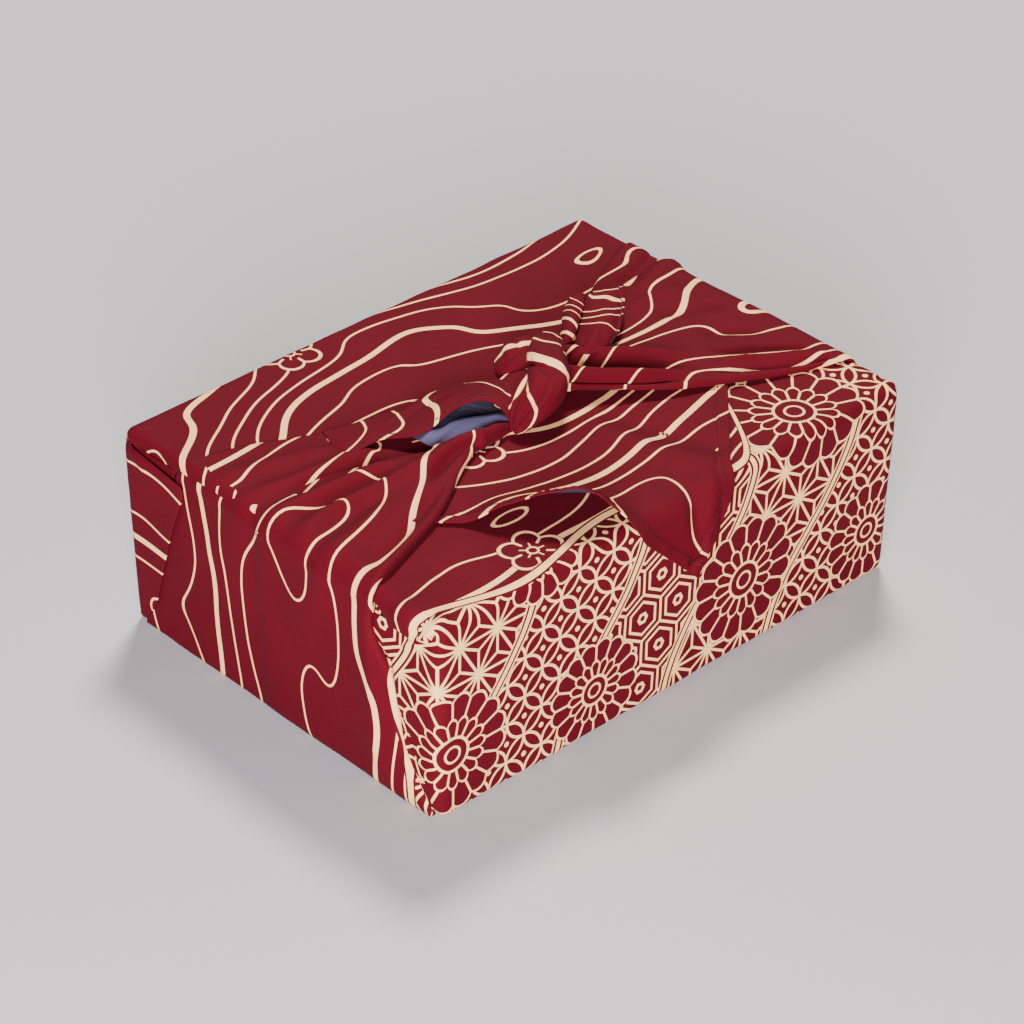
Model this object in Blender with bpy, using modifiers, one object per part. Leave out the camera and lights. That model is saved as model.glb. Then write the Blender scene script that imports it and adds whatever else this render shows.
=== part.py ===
"""Furoshiki wrap tied around a flat box.

One square of cloth is folded up around a plain rigid box.  The front and back corners are
folded over the top, the back one hanging over the front edge, and the left and right corners
are gathered and tied in a square knot in the middle of the top.  X runs along the long side,
Y from front to back, Z up, and the origin is on the surface under the middle of the parcel.
"""
import math

import bmesh
import bpy
import numpy as np
from mathutils import Vector

MM = 0.001

# Driving dimensions, in millimetres.
LENGTH = 250.0            # parcel, left to right, over the cloth
WIDTH = 181.0             # front to back, over the cloth
HEIGHT = 88.1             # up to the front cloth's top face
TAPER = 1.6               # how far each wall leans in towards the bottom
CLOTH = 1.2               # thickness of one layer of cloth
GAP = 0.3                 # between two layers, and between cloth and box
EDGE_RADIUS = 4.0         # the cloth's round fall over the parcel's edges
LAYER = CLOTH + GAP       # rise from one layer to the next
BOX_EDGE = 6.5            # rounding of the box's edges, so that the cloth clears them
HANG_LEFT = -29.0         # where the hanging corner's left hem crosses the front edge
HANG_RIGHT = 25.8         # where its right hem crosses the front edge
HANG_STAND_OFF = 12.0     # how far the hanging tip stands off the front face
ARCH_LIFT = 12.0          # how high the back corner's left hem arches
ARCH_FROM_EDGE = 15.0     # how far behind the front edge the arch is highest
ARCH_REACH = 26.0         # half the arch's length across its crest
ARCH_DEPTH = 17.0         # how far in from the hem the cloth is raised with it
SIDE_FALL = 5.0           # how far the top cloth falls over the side and back edges
LAID_EDGE = 0.1           # how proud of the wall the fallen edge lies
FLAP_ROWS = 28            # stations along a side flap
FLAP_ACROSS = 11          # points across it
HEM_ACROSS = 7
STRAND_SIDES = 10
EDGE_SEGMENTS = 3
SLOT = 0.6                # slot that frees the front corner's cloth from the side walls
SLOT_INSET = 6.0          # its distance in from the walls
SLOT_START = -25.0        # how far forward it runs along the sides

# Side flaps: one row for each station along the flap.  "run" is measured over the cloth from
# the middle of the top, out over the top edge and down the side wall.  "front" and "back" are
# the flap's fold edges across it, "lift" its height above the layer below, "crown" how far
# its middle is raised by the gathered folds.
FLAP_COLUMNS = ("run", "front", "back", "lift", "crown")
LEFT_FLAP = (
    (209.4, -87.0, 87.0, -1.3, 0.0),
    (205.0, -86.5, 86.5, 0.0, 0.0),
    (195.0, -81.5, 83.0, 0.0, 0.3),
    (183.0, -72.0, 78.5, 0.0, 0.5),
    (166.0, -63.5, 73.0, 0.0, 0.6),
    (150.0, -58.0, 67.5, 0.0, 0.5),
    (136.0, -57.0, 62.0, 0.0, 0.3),
    (129.0, -57.0, 58.5, 0.0, 0.2),
    (125.0, -56.5, 56.0, 0.0, 0.2),
    (121.0, -55.0, 54.5, 0.0, 0.2),
    (113.0, -51.5, 53.5, 0.0, 0.5),
    (97.0, -46.0, 49.5, 0.0, 0.9),
    (75.0, -36.5, 39.5, 0.0, 1.4),
    (55.0, -26.5, 31.0, 0.0, 2.4),
    (38.0, -18.0, 24.0, 0.6, 4.0),
    (24.0, -13.5, 17.5, 2.0, 6.0),
    (10.0, -10.5, 9.5, 4.0, 7.0),
)
RIGHT_FLAP = (
    (209.4, -87.0, 87.0, -1.3, 0.0),
    (205.0, -86.5, 86.5, 0.0, 0.0),
    (195.0, -82.0, 83.0, 0.0, 0.3),
    (183.0, -76.0, 78.0, 0.0, 0.5),
    (166.0, -71.0, 72.0, 0.0, 0.6),
    (150.0, -68.0, 66.0, 0.0, 0.5),
    (136.0, -67.0, 62.0, 0.0, 0.3),
    (129.0, -66.5, 60.0, 0.0, 0.2),
    (125.0, -66.0, 59.5, 0.0, 0.2),
    (121.0, -65.5, 59.0, 0.0, 0.2),
    (110.0, -62.5, 54.0, 0.0, 0.6),
    (95.0, -56.5, 46.5, 0.0, 1.2),
    (78.0, -48.5, 34.0, 0.3, 2.2),
    (62.0, -41.0, 23.0, 0.8, 3.4),
    (46.0, -31.5, 15.0, 1.6, 4.6),
    (32.0, -22.5, 10.0, 2.8, 5.6),
    (20.0, -14.5, 8.0, 4.0, 6.4),
    (8.0, -9.5, 8.0, 5.0, 6.8),
)

# Loose upper layer of the left flap by the knot: its hem line and how high the hem arches.
HEM_COLUMNS = ("run", "hem", "rise")
LEFT_HEM = (
    (64.0, 9.5, -0.7),
    (58.0, 8.0, 0.2),
    (50.0, 5.5, 3.6),
    (41.0, 3.0, 8.0),
    (31.0, -1.0, 9.4),
    (21.0, -5.5, 8.2),
    (12.0, -9.5, 4.6),
)

# The knot's strands: centre line, width and thickness, with the way that the width lies.
STRAND_COLUMNS = ("x", "y", "z", "width", "thick")
STRANDS = {
    "front_lobe_and_tail": ((-0.35, 0.94, 0.0), (
        (-18.5, -18.0, 91.6, 5.0, 2.6),
        (-13.0, -16.5, 95.5, 10.0, 6.5),
        (-7.0, -14.0, 98.6, 13.0, 8.5),
        (1.0, -9.5, 100.0, 14.0, 9.5),
        (11.0, -3.5, 100.5, 13.0, 9.0),
        (21.0, 1.5, 101.0, 12.0, 8.0),
        (29.5, 4.5, 101.5, 10.0, 6.0),
        (39.0, 9.5, 102.5, 18.0, 4.4),
        (51.0, 15.0, 102.5, 31.0, 2.8),
        (64.0, 21.0, 101.5, 26.0, 2.2),
        (75.0, 26.0, 100.5, 13.0, 1.8),
    )),
    "top_lobe_and_short_tail": ((0.93, -0.15, 0.33), (
        (1.0, -15.0, 94.5, 11.0, 6.0),
        (3.0, -16.0, 99.5, 14.0, 7.0),
        (7.5, -11.0, 106.0, 18.0, 8.0),
        (11.5, -1.5, 108.0, 19.0, 8.0),
        (10.0, 7.0, 105.5, 16.0, 8.0),
        (5.0, 12.0, 102.0, 14.0, 7.0),
        (-1.5, 14.5, 97.5, 12.0, 4.5),
    )),
    "under_loop": ((0.0, 1.0, 0.0), (
        (-12.0, 3.0, 95.0, 15.0, 6.0),
        (4.0, 0.0, 96.0, 22.0, 10.0),
        (21.0, -5.0, 95.5, 16.0, 7.0),
    )),
}

# Gift folds: the pleat of spare cloth at a top corner, given for the left front corner.
PLEAT_WIDTH_LIES = (0.25, 0.0, 1.0)
PLEAT = (
    (-124.1, -50.0, 76.0, 8.0, 1.2),
    (-124.7, -60.0, 77.5, 11.0, 3.0),
    (-124.9, -72.0, 79.5, 10.0, 3.4),
    (-124.5, -82.0, 82.0, 7.0, 3.0),
    (-123.7, -87.5, 84.0, 3.5, 1.4),
)

CLOTH_COLOUR = (0.22, 0.012, 0.024, 1.0)
CARTON_COLOUR = (0.55, 0.47, 0.36, 1.0)


def clear_scene():
    for obj in list(bpy.data.objects):
        bpy.data.objects.remove(obj, do_unlink=True)


def new_collection(name):
    collection = bpy.data.collections.get(name) or bpy.data.collections.new(name)
    if collection.name not in bpy.context.scene.collection.children:
        bpy.context.scene.collection.children.link(collection)
    return collection


def new_material(name, colour, roughness):
    material = bpy.data.materials.new(name)
    material.use_nodes = True
    shader = material.node_tree.nodes["Principled BSDF"]
    shader.inputs["Base Color"].default_value = colour
    shader.inputs["Roughness"].default_value = roughness
    shader.inputs["Metallic"].default_value = 0.0
    return material


def add_object(name, mesh, collection, cutter=False):
    obj = bpy.data.objects.new(name, mesh)
    collection.objects.link(obj)
    if cutter:
        obj.hide_render = True
        obj.display_type = "WIRE"
    return obj


def rounded_block(name, size, base, edge, collection, taper=0.0, cutter=False):
    """A box primitive standing at height base, its foot smaller by taper, edges rounded."""
    shape = bmesh.new()
    bmesh.ops.create_cube(shape, size=1.0)
    for vert in shape.verts:
        lean = 1.0 if vert.co.z > 0 else 1.0 - 2.0 * taper / size[0]
        lean_y = 1.0 if vert.co.z > 0 else 1.0 - 2.0 * taper / size[1]
        vert.co = Vector((vert.co.x * size[0] * lean, vert.co.y * size[1] * lean_y,
                          base + (vert.co.z + 0.5) * size[2])) * MM
    mesh = bpy.data.meshes.new(name)
    shape.to_mesh(mesh)
    shape.free()
    obj = add_object(name, mesh, collection, cutter)
    if edge > 0:
        bevel = obj.modifiers.new("rounded edges", "BEVEL")
        bevel.width = edge * MM
        bevel.segments = EDGE_SEGMENTS
        bevel.limit_method = "NONE"
    return obj


def drape(run_x, run_y, lift):
    """The point that lies over the parcel at these distances from the middle of its top.

    Past a top edge the distance turns over the edge's radius and goes on down the wall.
    """
    flat = (LENGTH / 2 - LAYER - EDGE_RADIUS, WIDTH / 2 - EDGE_RADIUS)
    held = (max(-flat[0], min(flat[0], run_x)), max(-flat[1], min(flat[1], run_y)))
    over = (run_x - held[0], run_y - held[1])
    past = math.hypot(*over)
    if past < 1e-9:
        return Vector((held[0], held[1], HEIGHT + lift))
    turn = min(past / EDGE_RADIUS, math.pi / 2)
    drop = max(past - EDGE_RADIUS * math.pi / 2, 0.0)
    reach = (EDGE_RADIUS + lift) * math.sin(turn) - TAPER * drop / HEIGHT
    height = HEIGHT - EDGE_RADIUS + (EDGE_RADIUS + lift) * math.cos(turn) - drop
    return Vector((held[0] + reach * over[0] / past, held[1] + reach * over[1] / past, height))


def cloth_sheet(name, rows, collection, flip=False):
    """One layer of cloth: a grid of points in millimetres, thickened inwards."""
    across = len(rows[0])
    points = [tuple(point * MM) for row in rows for point in row]
    faces = []
    for i in range(len(rows) - 1):
        for j in range(across - 1):
            corners = (i * across + j, i * across + j + 1,
                       (i + 1) * across + j + 1, (i + 1) * across + j)
            faces.append(corners[::-1] if flip else corners)
    mesh = bpy.data.meshes.new(name)
    mesh.from_pydata(points, [], faces)
    obj = add_object(name, mesh, collection, cutter=True)
    thickness = obj.modifiers.new("cloth thickness", "SOLIDIFY")
    thickness.thickness = CLOTH * MM
    thickness.offset = -1.0
    thickness.use_even_offset = True
    thickness.use_rim = True
    obj.modifiers.new("flat facets", "TRIANGULATE")
    return obj


def smooth_step(value):
    value = max(0.0, min(1.0, value))
    return value * value * (3.0 - 2.0 * value)


def table_curve(table, columns, count):
    """Stations at even steps along a smooth curve through a table's rows."""
    rows = np.array(table)
    rows = np.vstack((2 * rows[0] - rows[1], rows, 2 * rows[-1] - rows[-2]))
    stations = []
    for step in np.linspace(0, len(table) - 1, count):
        i = min(int(step), len(table) - 2)
        t = step - i
        p0, p1, p2, p3 = rows[i:i + 4]
        value = p1 + 0.5 * t * (p2 - p0 + t * (2 * p0 - 5 * p1 + 4 * p2 - p3
                                               + t * (3 * (p1 - p2) + p3 - p0)))
        stations.append(dict(zip(columns, map(float, value))))
    return stations


def side_flap(name, table, side, collection):
    """A left (side -1) or right (side +1) corner: up the wall, over the edge, to the knot."""
    rows = []
    for station in table_curve(table, FLAP_COLUMNS, FLAP_ROWS):
        row = []
        for j in range(FLAP_ACROSS):
            share = j / (FLAP_ACROSS - 1)
            y = station["front"] + (station["back"] - station["front"]) * share
            crown = station["crown"] * math.sin(math.pi * share) ** 0.7
            ridge = 0.16 * station["crown"] * math.cos(6 * math.pi * share)
            layers = 1.0 + smooth_step((LENGTH / 2 + SIDE_FALL - station["run"]) / 10.0)
            lift = LAYER * layers + station["lift"] + crown - ridge
            row.append(drape(side * station["run"], y, lift))
        rows.append(row)
    return cloth_sheet(name, rows, collection, flip=side < 0)


def arch_height(x, v):
    """Lift of the back corner's left hem, which arches up behind the front edge."""
    along = (v - ARCH_FROM_EDGE) / ARCH_REACH
    inside = (x + v - HANG_LEFT) / math.sqrt(2)
    return ARCH_LIFT * max(0.0, 1.0 - along * along) ** 1.5 * math.exp(-(inside / ARCH_DEPTH) ** 2)


def back_corner(collection):
    """The back corner's cloth: over the back edge, over the top and down over the front."""
    side_fold = LENGTH / 2 + SIDE_FALL
    tip = -(HANG_RIGHT - HANG_LEFT) / 2
    whole = side_fold + HANG_LEFT             # from here back the cloth covers the full length
    turn = np.array((0.0, 2.2, 4.2, 6.2, 8.2, 10.2, 12.4))    # steps over a rounded edge
    shares = np.concatenate((turn / (2 * side_fold), np.linspace(0.11, 0.5, 5)))
    shares = np.concatenate((shares, 1.0 - shares[-2::-1]))
    levels = np.concatenate((WIDTH + SIDE_FALL - turn, np.linspace(158.0, whole + 3.0, 4),
                             np.linspace(whole - 3.0, 2 * EDGE_RADIUS, 16),
                             np.linspace(EDGE_RADIUS, -2.3, 4),
                             np.linspace(-6.0, tip + CLOTH, 5)))
    rows = []
    for v in levels:
        left = max(-side_fold, HANG_LEFT - v)
        right = min(side_fold, HANG_RIGHT + v)
        row = []
        for share in shares:
            x = left + (right - left) * share
            lift = LAYER
            if v > whole - SIDE_FALL:
                edge = max(abs(x) - LENGTH / 2, v - WIDTH) + SIDE_FALL + 2.0
                lift = LAYER - (LAYER - LAID_EDGE) * smooth_step(edge / 4.0)
            lift += arch_height(x, v)
            point = drape(x, v - WIDTH / 2, lift)
            if v < EDGE_RADIUS:
                off = (EDGE_RADIUS - v) / (EDGE_RADIUS - tip)
                point += Vector((0.0, -HANG_STAND_OFF * off ** 1.2, LAYER * off))
            row.append(point)
        rows.append(row)
    return cloth_sheet("back_corner", rows, collection)


def left_hem_layer(collection):
    """The left flap's loose upper layer, whose hem stands up in an arch beside the knot."""
    runs = [-row[0] for row in LEFT_FLAP]
    rows = []
    for station in table_curve(LEFT_HEM, HEM_COLUMNS, 2 * len(LEFT_HEM) - 1):
        flap = {name: np.interp(-station["run"], runs, [row[k] for row in LEFT_FLAP])
                for k, name in enumerate(FLAP_COLUMNS)}
        row = []
        for j in range(HEM_ACROSS):
            share = j / (HEM_ACROSS - 1)
            y = station["hem"] + (flap["back"] - 4.0 - station["hem"]) * share
            place = (y - flap["front"]) / (flap["back"] - flap["front"])
            base = flap["lift"] + flap["crown"] * math.sin(math.pi * place) ** 0.7
            rise = station["rise"] * (1.0 - share) ** 1.4 + 0.4
            row.append(drape(-station["run"], y, 2 * LAYER + base + rise))
        rows.append(row)
    return cloth_sheet("left_hem_layer", rows, collection, flip=True)


def strand(name, width_lies, table, collection):
    """One strand of the knot: flattened round sections lofted along its centre line."""
    stations = table_curve(table, STRAND_COLUMNS, 2 * len(table) - 1)
    centres = [Vector((s["x"], s["y"], s["z"])) for s in stations]
    shape = bmesh.new()
    rings = []
    for i, station in enumerate(stations):
        ahead = centres[min(i + 1, len(centres) - 1)] - centres[max(i - 1, 0)]
        ahead.normalize()
        wide = Vector(width_lies)
        wide = (wide - ahead * wide.dot(ahead)).normalized()
        tall = ahead.cross(wide)
        ring = []
        for k in range(STRAND_SIDES):
            angle = 2 * math.pi * k / STRAND_SIDES
            point = (centres[i] + wide * (station["width"] / 2 * math.cos(angle))
                     + tall * (station["thick"] / 2 * math.sin(angle)))
            ring.append(shape.verts.new(point * MM))
        rings.append(ring)
    for first, second in zip(rings, rings[1:]):
        for k in range(STRAND_SIDES):
            after = (k + 1) % STRAND_SIDES
            shape.faces.new((first[k], first[after], second[after], second[k]))
    shape.faces.new(rings[0][::-1])
    shape.faces.new(rings[-1])
    bmesh.ops.recalc_face_normals(shape, faces=shape.faces)
    bmesh.ops.triangulate(shape, faces=shape.faces)
    mesh = bpy.data.meshes.new(name)
    shape.to_mesh(mesh)
    shape.free()
    return add_object(name, mesh, collection, cutter=True)


def boolean(obj, other, operation):
    modifier = obj.modifiers.new(operation.lower() + " " + other.name, "BOOLEAN")
    modifier.operation = operation
    modifier.solver = "EXACT"
    modifier.object = other
    return modifier


def build_box(collection):
    """The plain rigid box that the cloth fits."""
    inset = 2 * LAYER
    size = (LENGTH - 2 * inset, WIDTH - 2 * LAYER, HEIGHT - 2 * LAYER)
    return rounded_block("box", size, LAYER, BOX_EDGE, collection, taper=TAPER)


def build_wrap(parts, cutters):
    """The whole square of cloth, folded and tied, as one solid."""
    outer = (LENGTH - 2 * LAYER, WIDTH, HEIGHT)
    inner = (outer[0] - 2 * CLOTH, WIDTH - 2 * CLOTH, HEIGHT - 2 * CLOTH)
    wrap = rounded_block("wrap", outer, 0.0, EDGE_RADIUS, parts, taper=TAPER)
    cavity = rounded_block("cavity", inner, CLOTH, EDGE_RADIUS - CLOTH, cutters, taper=TAPER,
                           cutter=True)
    boolean(wrap, cavity, "DIFFERENCE")
    slot_x = inner[0] / 2 - SLOT_INSET
    slot_y = inner[1] / 2 - SLOT_INSET
    deep = 2 * CLOTH + GAP
    side_slot = (SLOT, slot_y - SLOT_START, deep)
    middle = (slot_y + SLOT_START) / 2
    for name, size, place in (("left_slot", side_slot, (-slot_x, middle)),
                              ("right_slot", side_slot, (slot_x, middle)),
                              ("back_slot", (2 * slot_x + SLOT, SLOT, deep), (0.0, slot_y))):
        slot = rounded_block(name, size, HEIGHT - deep + GAP, 0.0, cutters, cutter=True)
        slot.location = (place[0] * MM, place[1] * MM, 0.0)
        boolean(wrap, slot, "DIFFERENCE")
    layers = [back_corner(cutters),
              side_flap("left_flap", LEFT_FLAP, -1, cutters),
              side_flap("right_flap", RIGHT_FLAP, 1, cutters),
              left_hem_layer(cutters)]
    layers += [strand(name, lies, table, cutters) for name, (lies, table) in STRANDS.items()]
    for side_x in (1, -1):
        for side_y in (1, -1):
            table = [(side_x * x, side_y * y, *rest) for x, y, *rest in PLEAT]
            lies = (side_x * PLEAT_WIDTH_LIES[0], 0.0, PLEAT_WIDTH_LIES[2])
            layers.append(strand("corner_pleat", lies, table, cutters))
    for layer in layers:
        boolean(wrap, layer, "UNION")
    return wrap


def main():
    clear_scene()
    parts = new_collection("furoshiki wrap")
    cutters = new_collection("furoshiki cutters")
    cloth = new_material("printed cotton", CLOTH_COLOUR, 0.8)
    carton = new_material("plain greyboard", CARTON_COLOUR, 0.9)
    box = build_box(parts)
    box.data.materials.append(carton)
    wrap = build_wrap(parts, cutters)
    wrap.data.materials.append(cloth)


main()
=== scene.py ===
import math

import bmesh
import bpy
import numpy as np
from mathutils import Matrix, Vector


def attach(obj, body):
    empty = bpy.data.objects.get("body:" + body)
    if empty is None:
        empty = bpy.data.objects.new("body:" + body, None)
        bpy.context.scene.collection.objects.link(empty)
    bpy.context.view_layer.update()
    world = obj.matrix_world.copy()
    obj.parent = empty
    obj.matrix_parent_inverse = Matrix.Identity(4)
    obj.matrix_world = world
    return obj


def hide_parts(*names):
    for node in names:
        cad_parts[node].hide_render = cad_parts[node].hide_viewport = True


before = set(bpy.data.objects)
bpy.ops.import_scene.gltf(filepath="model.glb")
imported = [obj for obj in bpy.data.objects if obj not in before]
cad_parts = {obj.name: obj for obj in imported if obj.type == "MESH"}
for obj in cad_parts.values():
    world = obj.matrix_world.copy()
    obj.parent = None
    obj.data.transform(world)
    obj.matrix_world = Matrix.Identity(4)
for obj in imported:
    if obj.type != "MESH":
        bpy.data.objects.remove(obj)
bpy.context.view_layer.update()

print("frame loaded:", sorted(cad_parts))

# Lengths below are millimetres; meshes are written in metres.
toMetres = 0.001
parcel = {
    "length": 250.0,
    "width": 181.0,
    "height": 88.1,     # top of the front corner's cloth
    "lean": 1.6,        # walls draw in this much towards the foot
    "round": 4.5,       # soft top edges
    "footRound": 2.5,
    "footHeight": 0.7,
    "layer": 1.5,       # one layer of cloth on the next
}
weaveSheet = {"thickness": 0.55, "hemWidth": 5.0, "hemRise": 0.45}


def smoothStep(value, low, high):
    share = np.clip((value - low) / (high - low), 0.0, 1.0)
    return share * share * (3.0 - 2.0 * share)


def tableAt(table, at, column=1):
    # a table's column, read at the given values of its first column
    rows = np.array(table, float)
    rows = rows[np.argsort(rows[:, 0])]
    return np.interp(at, rows[:, 0], rows[:, column])


def smoothCurve(points, count):
    # evenly counted points on a smooth curve through the given ones
    rows = np.array(points, float)
    rows = np.vstack((2 * rows[0] - rows[1], rows, 2 * rows[-1] - rows[-2]))
    steps = np.linspace(0, len(points) - 1, count)
    first = np.minimum(steps.astype(int), len(points) - 2)
    t = (steps - first)[:, None]
    p0, p1, p2, p3 = rows[first], rows[first + 1], rows[first + 2], rows[first + 3]
    return p1 + 0.5 * t * (p2 - p0 + t * (2 * p0 - 5 * p1 + 4 * p2 - p3
                                          + t * (3 * (p1 - p2) + p3 - p0)))


def softWaves(a, b, seed, reach, count=7):
    # sum of a few slanting waves about as long as reach, between -1 and 1
    dice = np.random.default_rng(seed)
    total = np.zeros(np.broadcast(a, b).shape)
    for _ in range(count):
        turn = dice.uniform(0, 2 * math.pi)
        length = reach * dice.uniform(0.7, 1.6)
        total = total + np.sin(2 * math.pi * (a * math.cos(turn) + b * math.sin(turn)) / length
                               + dice.uniform(0, 2 * math.pi))
    return total / count * 1.6


def unit(vectors):
    return vectors / np.maximum(np.linalg.norm(vectors, axis=-1, keepdims=True), 1e-9)


def lineRuns(points):
    # how far along a line of points each of them is
    steps = np.linalg.norm(np.diff(points, axis=0), axis=-1)
    return np.concatenate(([0.0], np.cumsum(steps)))


def gridNormals(points):
    return unit(np.cross(np.gradient(points, axis=1), np.gradient(points, axis=0)))


def nearLine(points, normals, line):
    # distance from each point to a polyline, the side it is on, and how far along;
    # a line given by x and y alone is followed in plan
    line = np.array(line, float)
    if line.shape[1] == 2:
        line = np.column_stack((line, np.zeros(len(line))))
        points = points * (1.0, 1.0, 0.0)
    starts = lineRuns(line)
    best = np.full(points.shape[:-1], 1e9)
    side = np.zeros_like(best)
    along = np.zeros_like(best)
    for i, length in enumerate(np.diff(starts)):
        way = (line[i + 1] - line[i]) / length
        rel = points - line[i]
        t = np.clip(rel @ way, 0.0, length)
        off = rel - t[..., None] * way
        far = np.linalg.norm(off, axis=-1)
        closer = far < best
        best = np.where(closer, far, best)
        turn = np.einsum("...k,...k->...", np.cross(way, off), normals)
        side = np.where(closer, np.sign(turn), side)
        along = np.where(closer, (starts[i] + t) / starts[-1], along)
    return best, side, along


def fold(width, height, *line, **more):
    # a soft ridge, or a trough where height is below 0, through these places; more may give
    # ends, the shares of its length over which it fades in and out, downTo, the height it
    # runs down to, and on the knot steep, the side of it on which the cloth stays high
    return {"width": width, "height": height, "line": line, **more}


def addFolds(points, folds, outward=1.0):
    # the sheet with its folds raised along its own outward side
    normals = gridNormals(points) * outward
    lift = np.zeros(points.shape[:-1])
    for one in folds:
        far, _, along = nearLine(points, normals, one["line"])
        ends = one.get("ends", (0.18, 0.18))
        strength = np.ones_like(along)
        if ends[0] > 0:
            strength = strength * smoothStep(along, 0.0, ends[0])
        if ends[1] > 0:
            strength = strength * smoothStep(1.0 - along, 0.0, ends[1])
        if "downTo" in one:
            top = parcel["height"] - 3.0
            strength = strength * smoothStep(points[..., 2], one["downTo"], top)
        lift += one["height"] * np.exp(-(far / one["width"]) ** 2) * strength
    return points + normals * lift[..., None]


def drapeOver(runX, runY, lift, soft):
    # the place over the parcel at these distances from the middle of its top
    flatX = parcel["length"] / 2 - parcel["layer"] - soft
    flatY = parcel["width"] / 2 - soft
    runX, runY, lift = np.broadcast_arrays(runX, runY, lift)
    heldX, heldY = np.clip(runX, -flatX, flatX), np.clip(runY, -flatY, flatY)
    overX, overY = runX - heldX, runY - heldY
    past = np.hypot(overX, overY)
    safe = np.maximum(past, 1e-9)
    turn = np.minimum(past / soft, math.pi / 2)
    drop = np.maximum(past - soft * math.pi / 2, 0.0)
    reach = (soft + lift) * np.sin(turn) - parcel["lean"] * drop / parcel["height"]
    height = parcel["height"] - soft + (soft + lift) * np.cos(turn) - drop
    return np.stack((heldX + reach * overX / safe, heldY + reach * overY / safe, height), -1)


def addObject(name, data):
    obj = bpy.data.objects.new(name, data)
    bpy.context.scene.collection.objects.link(obj)
    return obj


def meshObject(name, points, faces, uv, materials):
    mesh = bpy.data.meshes.new(name)
    mesh.from_pydata((points.reshape(-1, 3) * toMetres).tolist(), [], faces)
    layer = mesh.uv_layers.new(name="flatCloth")
    corners = np.empty(len(mesh.loops), dtype=np.int32)
    mesh.loops.foreach_get("vertex_index", corners)
    layer.data.foreach_set("uv", (uv.reshape(-1, 2) * toMetres)[corners].ravel())
    mesh.shade_smooth()
    mesh.validate()
    for material in materials:
        mesh.materials.append(material)
    return addObject(name, mesh)


def gridFaces(rows, columns, flip=False):
    # quads between neighbouring rows and columns
    i, j = np.meshgrid(np.arange(rows - 1), np.arange(columns - 1), indexing="ij")
    first = i * columns + j
    quads = np.stack((first, first + 1, first + columns + 1, first + columns), -1).reshape(-1, 4)
    return (quads[:, ::-1] if flip else quads).tolist()


def clothSheet(name, points, uv, flip=False, thickness=None):
    # one layer of the printed cloth: print outside, wrong side inside
    rows, columns = points.shape[:2]
    obj = meshObject(name, points, gridFaces(rows, columns, flip), uv,
                     (clothFinish, wrongSideFinish))
    body = obj.modifiers.new("cloth thickness", "SOLIDIFY")
    body.thickness = (thickness or weaveSheet["thickness"]) * toMetres
    body.offset = -1.0
    body.use_even_offset = False
    body.material_offset = 1
    body.material_offset_rim = 0
    return obj


def feed(node, inputs):
    # give a node's inputs their numbers, or join them to sockets and wires
    for socket, value in inputs.items():
        if isinstance(value, Wire):
            value = value.source
        if isinstance(value, bpy.types.NodeSocket):
            node.id_data.links.new(value, node.inputs[socket])
        else:
            node.inputs[socket].default_value = value


def addNode(tree, kind, inputs, **settings):
    node = tree.nodes.new(kind)
    for name, value in settings.items():
        setattr(node, name, value)
    feed(node, inputs)
    return node


class Wire:
    # a number running through a node tree, so that a pattern reads as a formula
    def __init__(self, tree, source):
        self.tree = tree
        self.source = source

    def step(self, operation, *others):
        inputs = dict(enumerate((self, *others)))
        node = addNode(self.tree, "ShaderNodeMath", inputs, operation=operation)
        return Wire(self.tree, node.outputs[0])

    def __add__(self, other):
        return self.step("ADD", other)

    def __sub__(self, other):
        return self.step("SUBTRACT", other)

    def __mul__(self, other):
        return self.step("MULTIPLY", other)

    def __truediv__(self, other):
        return self.step("DIVIDE", other)

    def size(self):
        return self.step("ABSOLUTE")

    def least(self, other):
        return self.step("MINIMUM", other)

    def most(self, other):
        return self.step("MAXIMUM", other)

    def rest(self):
        return self.step("FRACT")

    def whole(self):
        return self.step("FLOOR")

    def above(self, other):
        return self.step("GREATER_THAN", other)

    def sine(self):
        return self.step("SINE")

    def flipped(self):
        return (self * -1.0) + 1.0

    def centred(self, span):
        return self.step("WRAP", span / 2, -span / 2)


def blend(share, low, high):
    # low where share is 0, high where it is 1
    node = addNode(share.tree, "ShaderNodeMix", {0: share, 2: low, 3: high}, clamp_factor=False)
    return Wire(share.tree, node.outputs[0])


def mixColour(tree, share, first, second):
    node = addNode(tree, "ShaderNodeMix", {}, data_type="RGBA")
    feed(node, {0: share, 6: first, 7: second})
    return node.outputs[2]


def fade(value, low, high):
    # soft step from 1 below low to 0 above high
    reach = {"Value": value, "From Min": low, "From Max": high, "To Min": 1.0, "To Max": 0.0}
    node = addNode(value.tree, "ShaderNodeMapRange", {}, interpolation_type="SMOOTHSTEP")
    feed(node, reach)
    return Wire(value.tree, node.outputs["Result"])


def pair(tree, x, y):
    return addNode(tree, "ShaderNodeCombineXYZ", {0: x, 1: y}).outputs[0]


def noiseAt(tree, x, y, reach, detail=0.0):
    # soft noise whose patches are about reach across
    inputs = {"Scale": 1.0 / reach, "Detail": detail, "Vector": pair(tree, x, y)}
    node = addNode(tree, "ShaderNodeTexNoise", inputs, noise_dimensions="2D")
    return Wire(tree, node.outputs["Fac"])


def cellDice(tree, x, y):
    # three even random numbers for each whole-numbered cell
    node = addNode(tree, "ShaderNodeTexWhiteNoise", {"Vector": pair(tree, x, y)},
                   noise_dimensions="2D")
    split = addNode(tree, "ShaderNodeSeparateColor", {0: node.outputs["Color"]})
    return [Wire(tree, output) for output in split.outputs]


def objectPlace(tree):
    return tree.nodes.new("ShaderNodeTexCoord").outputs["Object"]


def addBump(shader, height, strength, distance):
    bump = addNode(shader.id_data, "ShaderNodeBump",
                   {"Strength": strength, "Distance": distance, "Height": height})
    feed(shader, {"Normal": bump.outputs["Normal"]})


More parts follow.
